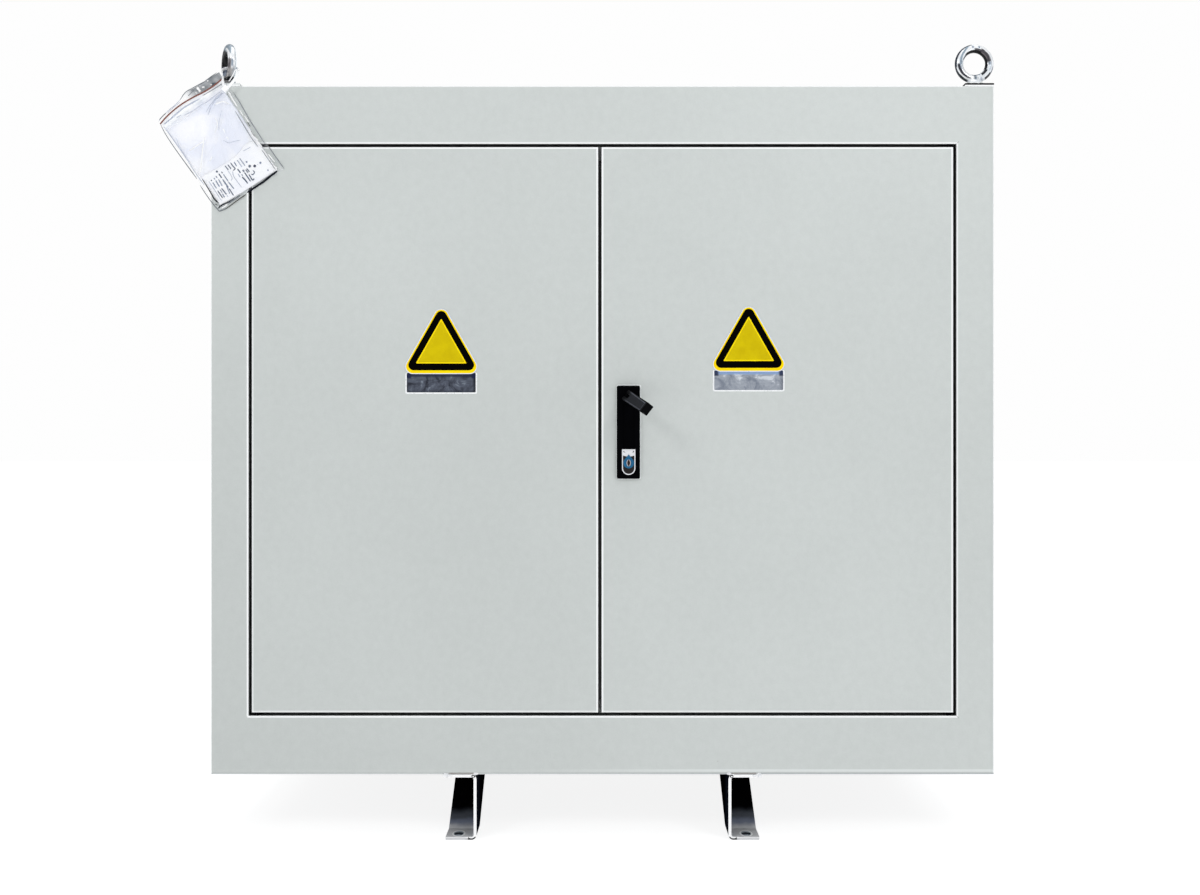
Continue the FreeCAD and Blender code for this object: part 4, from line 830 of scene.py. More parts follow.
def strip_metal(name, cx, z0, half, tones, fade):
    """Plain strip under a sign: brushed metal with blotches of painted reflection, a blue tint under the triangle as a
    painted shadow, dark low edges of painted shade.
    """
    f = Finish(name, Metallic=0.35, Specular_IOR_Level=0.3)
    x, y, z = f.axes()
    line = f.noise(1.0, 3.0, 0.6, 0.0, f.scaled(46.0, 900.0, 420.0))
    patch = f.noise(52.0, 4.0, 0.7, 0.8)
    low, mid, high, tint = tones
    colour = f.mix(f.span(patch, 0.34, 0.54), low, mid)
    colour = f.mix(f.span(patch, 0.54, 0.68), colour, high)
    colour = f.mix(f.math("MULTIPLY", f.span(line, 0.35, 0.7), 0.30), colour, low)
    dx = f.math("SUBTRACT", x, cx * MM)
    colour = f.paint(colour, low, fade, f.span(z, z0 * MM + 0.0015, z0 * MM + 0.0075, 1.0, 0.0))
    colour = f.paint(colour, srgb(12, 14, 22), fade, f.span(dx, (half - 6.0) * MM, (half - 1.5) * MM))
    colour = f.paint(colour, tint, 0.85, f.span(z, (z0 + 24.5) * MM, (z0 + 27.5) * MM))
    corner = f.both(f.span(f.math("ABSOLUTE", dx), (half - 8.0) * MM, (half - 4.0) * MM),
                    f.span(z, (z0 + 22.5) * MM, (z0 + 25.0) * MM))
    colour = f.paint(colour, srgb(14, 24, 60), 0.9, corner)
    f.set("Base Color", colour)
    f.set("Roughness", f.span(patch, 0.3, 0.7, 0.34, 0.52))
    f.bump((line, 0.08, 0.0003), (patch, 0.10, 0.0005))
    return f.mat


# painted highlights: the rims of the sign plates and strips
plate_edge = rim_highlight_finish("sign_edge_metal", srgb(212, 222, 246), srgb(236, 242, 254))
strip_edge = rim_highlight_finish("strip_edge_metal", srgb(240, 244, 246), srgb(252, 253, 253))
# painted reflection: the left strip is a darker copy of the right one
strip_dark = strip_metal("strip_dark_metal", -247.0, 683.3, 52.3,
                         (srgb(40, 43, 54), srgb(84, 90, 104), srgb(132, 142, 156), srgb(34, 38, 62)), 0.75)
strip_light = strip_metal("strip_light_metal", 224.0, 687.0, 52.3,
                          (srgb(122, 130, 144), srgb(164, 170, 180), srgb(214, 219, 226),
                           srgb(134, 162, 204)), 0.25)
SIGN_BACK = -350.0
for name, cx, z0, z1, zs, body, strip in (
        ("left", -247.0, 713.6, 813.8, 683.3, "left_leaf", strip_dark),
        ("right", 224.0, 717.3, 817.2, 687.0, "right_leaf", strip_light)):
    half, peak = 55.0 + 8.6, z1 + 12
    rings = []
    for side, low, radius, y, m in (
            (0.0, 0.0, 11.8, SIGN_BACK, 0),
            (0.0, 0.0, 11.8, SIGN_BACK - 0.70, 0),
            (1.4, 1.2, 10.4, SIGN_BACK - 0.80, 1),
            (3.5, 5.7, 8.3, SIGN_BACK - 0.85, 2),
            (3.8, 6.0, 8.0, SIGN_BACK - 1.15, 2),
            (13.0, 15.8, 1.2, SIGN_BACK - 1.15, 2),
            (13.4, 16.2, 0.9, SIGN_BACK - 0.85, 3),
            (15.2, 18.0, 0.7, SIGN_BACK - 0.95, 4),
            (16.3, 19.2, 0.6, SIGN_BACK - 0.80, 4)):
        rings.append((rounded(inset_triangle(cx, z0, half, peak, side, low), radius), y, m))
    tri = nested(name + "_sign_triangle", rings,
                 [plate_edge, yellow_rim, black_band, yellow_bevel, yellow_field_shaded], body)
    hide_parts(name + "_sign_plate")
    # plain strip below, its upper edge under the triangle; pressed rim round a sunk field
    hs = 110.0 / 2
    low, high = zs, z0 + 2.4

    def strip_outline(d, r):
        return rounded([(cx - hs + d, low + d), (cx + hs - d, low + d), (cx + hs - d, high - d * 0.2),
                        (cx - hs + d, high - d * 0.2)], r, 6)

    rings = [(strip_outline(0, 2.5), SIGN_BACK, 0), (strip_outline(0, 2.5), SIGN_BACK - 0.45, 0),
             (strip_outline(0.4, 2.2), SIGN_BACK - 0.60, 0),
             (strip_outline(2.2, 1.8), SIGN_BACK - 0.60, 1),
             (strip_outline(2.8, 1.2), SIGN_BACK - 0.42, 1)]
    plate = nested(name + "_sign_strip", rings, [strip_edge, strip], body)

# ---------------------------------------------------------------------------------------------
# lock: small hinge lug of the dust cover at the head of the bezel
# ---------------------------------------------------------------------------------------------
def tube_along(points, radius, sides=10, squash=1.0, closed=False):
    """Vertices and faces of a tube along points; squash flattens it into a strap."""
    verts, faces = [], []
    n = len(points)
    side = None
    for i, p in enumerate(points):
        a = points[(i - 1) % n] if (closed or i > 0) else p
        b = points[(i + 1) % n] if (closed or i < n - 1) else p
        t = (b - a).normalized()
        if side is None:
            side = t.orthogonal().normalized()
        side = (side - t * side.dot(t)).normalized()
        up = t.cross(side)
        for k in range(sides):
            w = 2 * math.pi * k / sides
            verts.append(p + side * (math.cos(w) * radius) + up * (math.sin(w) * radius * squash))
    spans = n if closed else n - 1
    for i in range(spans):
        for k in range(sides):
            j, l = (i + 1) % n, (k + 1) % sides
            faces.append((i * sides + k, i * sides + l, j * sides + l, j * sides + k))
    if not closed:
        faces.append(tuple(reversed(range(sides))))
        faces.append(tuple(range((n - 1) * sides, n * sides)))
    return verts, faces


# thin pale seal between the handle and the door
pale_seal = moulded("handle_seal", srgb(236, 241, 240), srgb(246, 249, 249), (0.45, 0.6), 300.0, 0.1)
outline = [rounded([(21.35 - d, 552.6 - d), (59.25 + d, 552.6 - d), (59.25 + d, 697.5 + d),
                    (21.35 - d, 697.5 + d)], 3.4 + d, 6) for d in (0.0, -0.3)]
nested("handle_seal", [(outline[0], -350.0, 0), (outline[0], -350.35, 0), (outline[1], -350.55, 0)], [pale_seal],
       "right_leaf")
# sunk dark field inside the bezel's rim, open to the bright bar at its head
lock_dark = moulded("lock_field", srgb(16, 15, 17), srgb(52, 46, 44), (0.3, 0.5), 300.0, 0.1,
                    Specular_IOR_Level=0.15)
field = []
for d in (0.0, 0.25):
    r = 8.7 - d
    field.append([(40.0 + r * math.cos(math.pi + math.pi * k / 24), 569.5 + r * math.sin(math.pi + math.pi * k / 24))
                  for k in range(25)] + [(40.0 + r, 588.8 - d), (40.0 + 3.0, 588.8 - d - 1.4), (40.0, 588.8 - d - 3.2),
                                         (40.0 - 3.0, 588.8 - d - 1.4), (40.0 - r, 588.8 - d)])
nested("lock_field", [(field[0], -357.0, 0), (field[0], -357.12, 0), (field[1], -357.18, 0)], [lock_dark],
       "right_leaf")
verts, faces = tube_along([Vector((0.0333 + 0.0134 * i / 8, -0.3573, 0.5950)) for i in range(9)],
                          0.0009, 12)
lug = solid("lock_cover_hinge", verts, faces, [chrome_lock], None, "right_leaf", True)
# painted shade: the two slots at the head of the bezel are thin black plates
slots = []
slot_faces = []
for x0, x1 in ((0.0320, 0.0352), (0.0450, 0.0482)):
    k = len(slots)
    pts = rounded([(x0, 0.5936), (x1, 0.5936), (x1, 0.5960), (x0, 0.5960)], 0.0010, 4)
    slots += [(x, -0.35702, z) for x, z in pts] + [(x, -0.35712, z) for x, z in pts]
    m = len(pts)
    slot_faces.append(tuple(range(k + m, k + 2 * m)))
    slot_faces += [(k + i, k + (i + 1) % m, k + m + (i + 1) % m, k + m + i) for i in range(m)]
solid("lock_cover_slots", slots, slot_faces, [handle_black], None, "right_leaf", False)

# ---------------------------------------------------------------------------------------------
# cross recesses in the housing screws, dark solids as painted shade for their depth
# ---------------------------------------------------------------------------------------------
recess_shade = moulded("screw_recess", srgb(28, 29, 31), srgb(52, 53, 56), (0.4, 0.6), 400.0, 0.2)
spots = [(588.0 * s, z) for s in (-1, 1) for z in (160, 390, 627, 865, 1095)]
spots += [(x, z) for x in (-440, -147, 147, 440) for z in (1141, 114)]
verts, faces = [], []
for i, (x, z) in enumerate(spots):
    turn = Matrix.Rotation(math.radians(37 * i % 90), 2)
    arm, wide = 3.0, 0.75
    cross = [(-wide, wide), (-wide, arm), (wide, arm), (wide, wide), (arm, wide), (arm, -wide),
             (wide, -wide), (wide, -arm), (-wide, -arm), (-wide, -wide), (-arm, -wide), (-arm, wide)]
    k = len(verts)
    for y in (355.62, 355.30):
        for u, v in cross:
            w = turn @ Vector((u, v))
            verts.append(((x + w.x) * MM, y * MM, (z + w.y) * MM))
    faces.append(tuple(range(k, k + 12)))
    faces += [(k + j, k + (j + 1) % 12, k + 12 + (j + 1) % 12, k + 12 + j) for j in range(12)]
solid("screw_recesses", verts, faces, [recess_shade], None, "housing", False)

# ---------------------------------------------------------------------------------------------
# weld runs between the feet and the housing, and the thin dark seam behind them
# ---------------------------------------------------------------------------------------------
def weld_metal():
    f = Finish("weld_metal", Metallic=0.15)
    heat = f.noise(240.0, 3.0, 0.6)
    f.set("Base Color", f.mix(f.span(heat, 0.35, 0.7), srgb(226, 228, 232), srgb(252, 252, 252)))
    f.set("Roughness", f.span(heat, 0.3, 0.7, 0.25, 0.42))
    f.bump((f.noise(600.0, 3.0), 0.3, 0.0004))
    return f.mat


weld = weld_metal()
seam_brown = moulded("seam_brown", srgb(84, 70, 62), srgb(126, 110, 100), (0.5, 0.7), 300.0, 0.3)


def blob(cx, cy, cz, rx, ry, rz, seed, rows=14, cols=20):
    """A weld bead: a lumpy ellipsoid, sizes in mm."""
    vs, fs = [], []
    for j in range(rows + 1):
        lat = math.pi * (j / rows - 0.5)
        for i in range(cols):
            lon = 2 * math.pi * i / cols
            n_ = Vector((math.cos(lat) * math.cos(lon), math.cos(lat) * math.sin(lon), math.sin(lat)))
            r = 1.0 + 0.10 * noise.noise(n_ * 1.6 + Vector((seed, 0, 0)))
            vs.append(((cx + n_.x * rx * r) * MM, (cy + n_.y * ry * r) * MM, (cz + n_.z * rz * r) * MM))
    for j in range(rows):
        for i in range(cols):
            k = (i + 1) % cols
            fs.append((j * cols + i, j * cols + k, (j + 1) * cols + k, (j + 1) * cols + i))
    return vs, fs


for label, sx, sy in (("front_left", -1, -1), ("front_right", 1, -1), ("rear_left", -1, 1),
                      ("rear_right", 1, 1)):
    verts, faces = [], []
    for cx, cz, rx, ry, rz, seed in ((240.4, 99.0, 4.3, 2.0, 3.7, 1.0), (235.0, 98.3, 6.0, 1.3, 1.9, 3.0),
                                     (193.8, 101.4, 3.5, 1.5, 2.0, 2.0), (198.0, 99.6, 4.0, 1.2, 1.6, 4.0)):
        v, fcs = blob(cx * sx, 349.6 * sy, cz, rx, ry, rz, seed)
        base = len(verts)
        verts += v
        faces += [tuple(base + q for q in f_) for f_ in fcs]
    solid("foot_weld_" + label, verts, faces, [weld], None, "housing", True)
    pts = []
    for i in range(25):
        x = (235.5 + (197.5 - 235.5) * i / 24) * sx
        pts.append(Vector((x * MM, 350.0 * sy * MM,
                           (102.1 + 0.15 * noise.noise(Vector((i * 0.7, sx, sy)))) * MM)))
    verts, faces = tube_along(pts, 0.0007, 8, 0.6)
    solid("foot_seam_" + label, verts, faces, [seam_brown], None, "housing", True)

# ---------------------------------------------------------------------------------------------
# document bag: two thin films with a bent zip strip, a folded leaflet inside, tied to the eye
# ---------------------------------------------------------------------------------------------
BAG_MID = Vector((-0.5845, 0.0, 1.0662))
BAG_TURN = math.radians(36)
BC, BS = math.cos(BAG_TURN), math.sin(BAG_TURN)


def from_bag(u, v, y):
    """A point of the bag: u along its top edge and v up its side, in mm from its middle, y in mm in the frame."""
    return Vector((BAG_MID.x + (u * BC - v * BS) * MM, y * MM, BAG_MID.z + (u * BS + v * BC) * MM))


def along_line(points, t):
    """A point of an open line of (a, b) points, smooth in between, t from 0 to 1 by the first value."""
    a = points[0][0] + (points[-1][0] - points[0][0]) * t
    for i in range(len(points) - 1):
        if a <= points[i + 1][0] or i == len(points) - 2:
            p0 = points[max(i - 1, 0)]
            p1, p2 = points[i], points[i + 1]
            p3 = points[min(i + 2, len(points) - 1)]
            w = (a - p1[0]) / (p2[0] - p1[0])
            m1 = (p2[1] - p0[1]) / max(p2[0] - p0[0], 1e-6) * (p2[0] - p1[0])
            m2 = (p3[1] - p1[1]) / max(p3[0] - p1[0], 1e-6) * (p2[0] - p1[0])
            w2, w3 = w * w, w * w * w
            return a, (2 * w3 - 3 * w2 + 1) * p1[1] + (w3 - 2 * w2 + w) * m1 + \
                (-2 * w3 + 3 * w2) * p2[1] + (w3 - w2) * m2


def spline(points, steps, closed=True):
    """Smooth curve through points, closed or open; an open one keeps its last point."""
    out = []
    n = len(points)
    for i in range(n if closed else n - 1):
        p0, p1, p2, p3 = (points[(i + k - 1) % n] if closed else points[min(max(i + k - 1, 0), n - 1)]
                          for k in range(4))
        for s in range(steps):
            t = s / steps
            out.append(0.5 * ((2 * p1) + (p2 - p0) * t + (2 * p0 - 5 * p1 + 4 * p2 - p3) * t * t
                              + (3 * p1 - p0 - 3 * p2 + p3) * t ** 3))
    if not closed:
        out.append(points[-1].copy())
    return out


def clip(value, lo=0.0, hi=1.0):
    return min(hi, max(lo, value))


TOP = [(-57.5, 80.0), (-44, 86.0), (-30, 89.2), (-14, 92.0), (2, 93.2), (20, 91.6), (40, 90.6),
       (61, 89.6)]
ZIP = [(-57.0, 78.4), (-42, 81.8), (-23.4, 83.6), (-8, 83.4), (5.9, 82.0), (27, 78.6), (45, 77.6),
       (62, 78.6)]
LOW = [(-62.5, -82.5), (-30, -84.0), (0, -85.6), (30, -87.0), (55.5, -88.4)]


def bag_left(v):
    return -57.2 - 5.4 * (80 - v) / 163 + 0.8 * math.sin(v * 0.06 + 1.0)


def bag_right(v):
    w = (80 - v) / 168
    return 61.6 - 6.4 * w + 0.9 * math.sin(v * 0.075)


def gauss_line(u, v, a, b, width):
    """How near (u, v) is to the segment a to b, 1 on it, fading over width and at its ends."""
    ax, ay = a
    dx, dy = b[0] - ax, b[1] - ay
    length = math.hypot(dx, dy)
    t = ((u - ax) * dx + (v - ay) * dy) / (length * length)
    d = ((u - ax) * dy - (v - ay) * dx) / length
    if t < -0.15 or t > 1.15:
        return 0.0
    return math.exp(-(d / width) ** 2) * clip((t + 0.12) / 0.25) * clip((1.12 - t) / 0.25)


# ridges (positive) and valleys of the front film, from the tie corner and across the pocket
FOLDS = [
    ((50, 60), (-2, 40), 3.2, 0.9), ((50, 58), (6, 8), 3.0, 1.0), ((51, 57), (26, 14), 2.6, -0.8),
    ((50, 60), (-34, 60), 2.6, 0.8), ((48, 66), (-44, 66), 2.0, -0.7), ((46, 72), (-50, 71), 1.7, 0.8),
    ((6, 10), (-16, -40), 2.6, 0.9), ((6, 10), (-34, -8), 2.4, 0.6), ((10, 34), (-6, 6), 2.2, -0.7),
    ((36, 26), (24, -8), 2.4, 0.7), ((24, 8), (46, 0), 2.0, -0.6), ((44, 40), (42, 4), 2.0, 0.6),
    ((-40, 40), (-20, 16), 2.4, -0.5), ((-50, 30), (-44, -20), 1.8, 0.6), ((34, 46), (50, 20), 2.0, 0.7),
    ((-30, -10), (-46, -44), 2.0, 0.7), ((-6, -18), (-26, -34), 2.2, -0.5), ((28, -18), (50, -22), 1.8, 0.7),
    ((46, -30), (54, -70), 1.8, 0.6), ((-54, -40), (-58, -76), 1.5, 0.7), ((-40, -79), (30, -83), 1.6, 0.8),
]
BACK_Y = -350.55


def sheet_at(u, v):
    """Front and back of the bag at (u, v) in mm, the distance to its side, and the height over the zip."""
    v_low = along_line(LOW, clip((u + 62.5) / 118))[1]
    zip_v = along_line(ZIP, clip((u + 57.0) / 119))[1]
    left, right = bag_left(v), bag_right(v)
    rim = max(0.0, min(u - left, right - u)) * 120 / (right - left)
    s = clip(min(rim / 11.0, (v - v_low) / 9.0, (zip_v - v) / 10.0))
    back = BACK_Y - 0.3 - 0.25 * noise.noise(Vector((u * 0.05, v * 0.05, 9.0)))
    if v > zip_v:
        lift = v - zip_v
        h = 0.9 + 0.22 * lift + 0.8 * math.sin(u * 0.16 + 0.6) * lift / 10
    else:
        h = 0.5 + 4.4 * min(1.0, s * 1.6) ** 0.6
        for a, b, width, amp in FOLDS:
            h += amp * gauss_line(u, v, a, b, width) * min(1.0, s * 5 + 0.15)
        h += 0.35 * noise.noise(Vector((u * 0.09, v * 0.09, 1.7))) * min(1.0, s * 4)
        h += 0.16 * noise.noise(Vector((u * 0.23, v * 0.23, 4.1)))
        h = max(h, 0.35)
    return max(back - h, BACK_Y - 7.6), back, rim, v - zip_v


def film():
    """Clear film: almost unseen over the leaflet, greyer in the lip over the zip as a painted reflection."""
    f = Finish("clear_film", IOR=1.46)
    smear = f.noise(46.0, 3.0, 0.55, 0.6)
    pale = f.mix(f.span(smear, 0.3, 0.7), srgb(236, 241, 248), srgb(252, 253, 255))
    f.set("Base Color", f.mix(f.layer("tone"), pale, srgb(84, 94, 103)))
    f.set("Alpha", f.math("MULTIPLY", f.layer("haze"), f.span(smear, 0.2, 0.8, 0.85, 1.15), clamp=True))
    f.set("Roughness", f.span(smear, 0.3, 0.7, 0.12, 0.24))
    f.set("Specular IOR Level", 0.35)
    f.bump((f.noise(70.0, 2.0, 0.5, 0.5), 0.06, 0.0004))
    return f.mat


film_mat = film()
NU, NV = 96, 132
verts, faces, haze, tone, back_row = [], [], [], [], []
for j in range(NV + 1):
    for i in range(NU + 1):
        u_low, v_low = along_line(LOW, i / NU)
        v = v_low + (along_line(TOP, i / NU)[1] - v_low) * j / NV
        u = bag_left(v) + (bag_right(v) - bag_left(v)) * i / NU
        front_, back_, rim, over = sheet_at(u, v)
        verts.append(from_bag(u, v, front_))
        back_row.append(from_bag(u, v, back_))
        h_, t_ = 0.07 + 0.16 * (1 - clip(rim / 3.0)) + 0.10 * (1 - clip((v - v_low) / 4.0)), 0.0
        for a, b, width, amp in FOLDS[:14]:
            h_ += 0.05 * gauss_line(u, v, a, b, width * 0.6)
        # painted reflection: the lip over the zip turns grey, most towards its right end
        if over > 0:
            t_ = clip((u + 2) / 16) * (0.94 + 0.22 * noise.noise(Vector((u * 0.12, v * 0.15, 6.0))))
            h_ = 0.16 + 0.62 * t_
        elif v > 60:
            h_ += 0.62 * clip((v - 60) / 8) * clip(rim / 5.0) * (0.92 + 0.2 * noise.noise(Vector((u * .1, v * .1, 2))))
        haze.append(clip(h_))
        tone.append(clip(t_))
verts += back_row
haze += [0.35 * q for q in haze]
tone += tone
count = len(back_row)
for j in range(NV):
    for i in range(NU):
        a = j * (NU + 1) + i
        faces.append((a, a + 1, a + NU + 2, a + NU + 1))
        faces.append((count + a, count + a + NU + 1, count + a + NU + 2, count + a + 1))
for i in range(NU):  # welded bottom, and the two lips together at the top
    faces.append((i, count + i, count + i + 1, i + 1))
    a = NV * (NU + 1) + i
    faces.append((a, a + 1, count + a + 1, count + a))
for j in range(NV):  # welded sides
    a, b = j * (NU + 1), (j + 1) * (NU + 1)
    faces.append((a, b, count + b, count + a))
    faces.append((a + NU, count + a + NU, count + b + NU, b + NU))
bag = solid("document_bag_film", verts, faces, [film_mat], None, None, True)
for label, values in (("haze", haze), ("tone", tone)):
    attribute = bag.data.attributes.new(label, "FLOAT", "POINT")
    attribute.data.foreach_set("value", values)
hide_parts("document_bag")

# red-brown zip bead
zip_red = moulded("zip_red_brown", srgb(116, 66, 56), srgb(142, 88, 76), (0.3, 0.45), 300.0, 0.15,
                  Specular_IOR_Level=0.2)
pts = []
for i in range(81):
    u, v = along_line(ZIP, i / 80 * 0.985)
    pts.append(from_bag(u, v, min(sheet_at(u, v + q)[0] for q in (-0.8, -0.1, 0.8, 1.6)) - 0.45))
verts, faces = tube_along(pts, 0.00112, 10, 0.45)
zipper = solid("document_bag_zip", verts, faces, [zip_red], None, None, True)


def stroke_finish(name, a, b, alpha):
    """A painted shadow, reflection or glint along a fold or edge of the film, or a mark on the leaflet."""
    f = Finish(name, Specular_IOR_Level=0.05)
    smear = f.noise(150.0, 3.0, 0.6)
    f.set("Base Color", f.mix(smear, a, b))
    f.set("Alpha", f.span(smear, 0.25, 0.75, alpha - 0.08, alpha))
    f.set("Roughness", f.span(smear, 0.3, 0.7, 0.35, 0.55))
    f.bump((smear, 0.05, 0.0002))
    return f.mat


def ribbon(vs, fs, points, w0, w1, y_of):
    """A flat stroke over the bag through (u, v) points, its width from w0 to w1 mm, pointed at both ends."""
    path = spline([Vector((p[0], p[1], 0)) for p in points], 8, False)
    n = len(path)
    rows_ = []
    for i, p in enumerate(path):
        d = (path[min(i + 1, n - 1)] - path[max(i - 1, 0)]).normalized()
        side = Vector((-d.y, d.x, 0))
        t = i / (n - 1)
        w = (w0 + (w1 - w0) * t) * min(1.0, 0.35 + 5 * t, 0.35 + 5 * (1 - t)) / 2
        rows_.append((p + side * w, p - side * w))
    base = len(vs)
    for p, q in rows_:
        for r, back in ((p, 0.0), (q, 0.0), (q, 0.15), (p, 0.15)):
            vs.append(from_bag(r.x, r.y, y_of(r.x, r.y) + back))
    fs.append((base + 3, base + 2, base + 1, base))
    for i in range(n - 1):
        for k in range(4):
            a, b = base + 4 * i + k, base + 4 * i + (k + 1) % 4
            fs.append((a, b, b + 4, a + 4))
    fs.append(tuple(base + 4 * (n - 1) + k for k in range(4)))
    return 4 * (n - 1) + 2


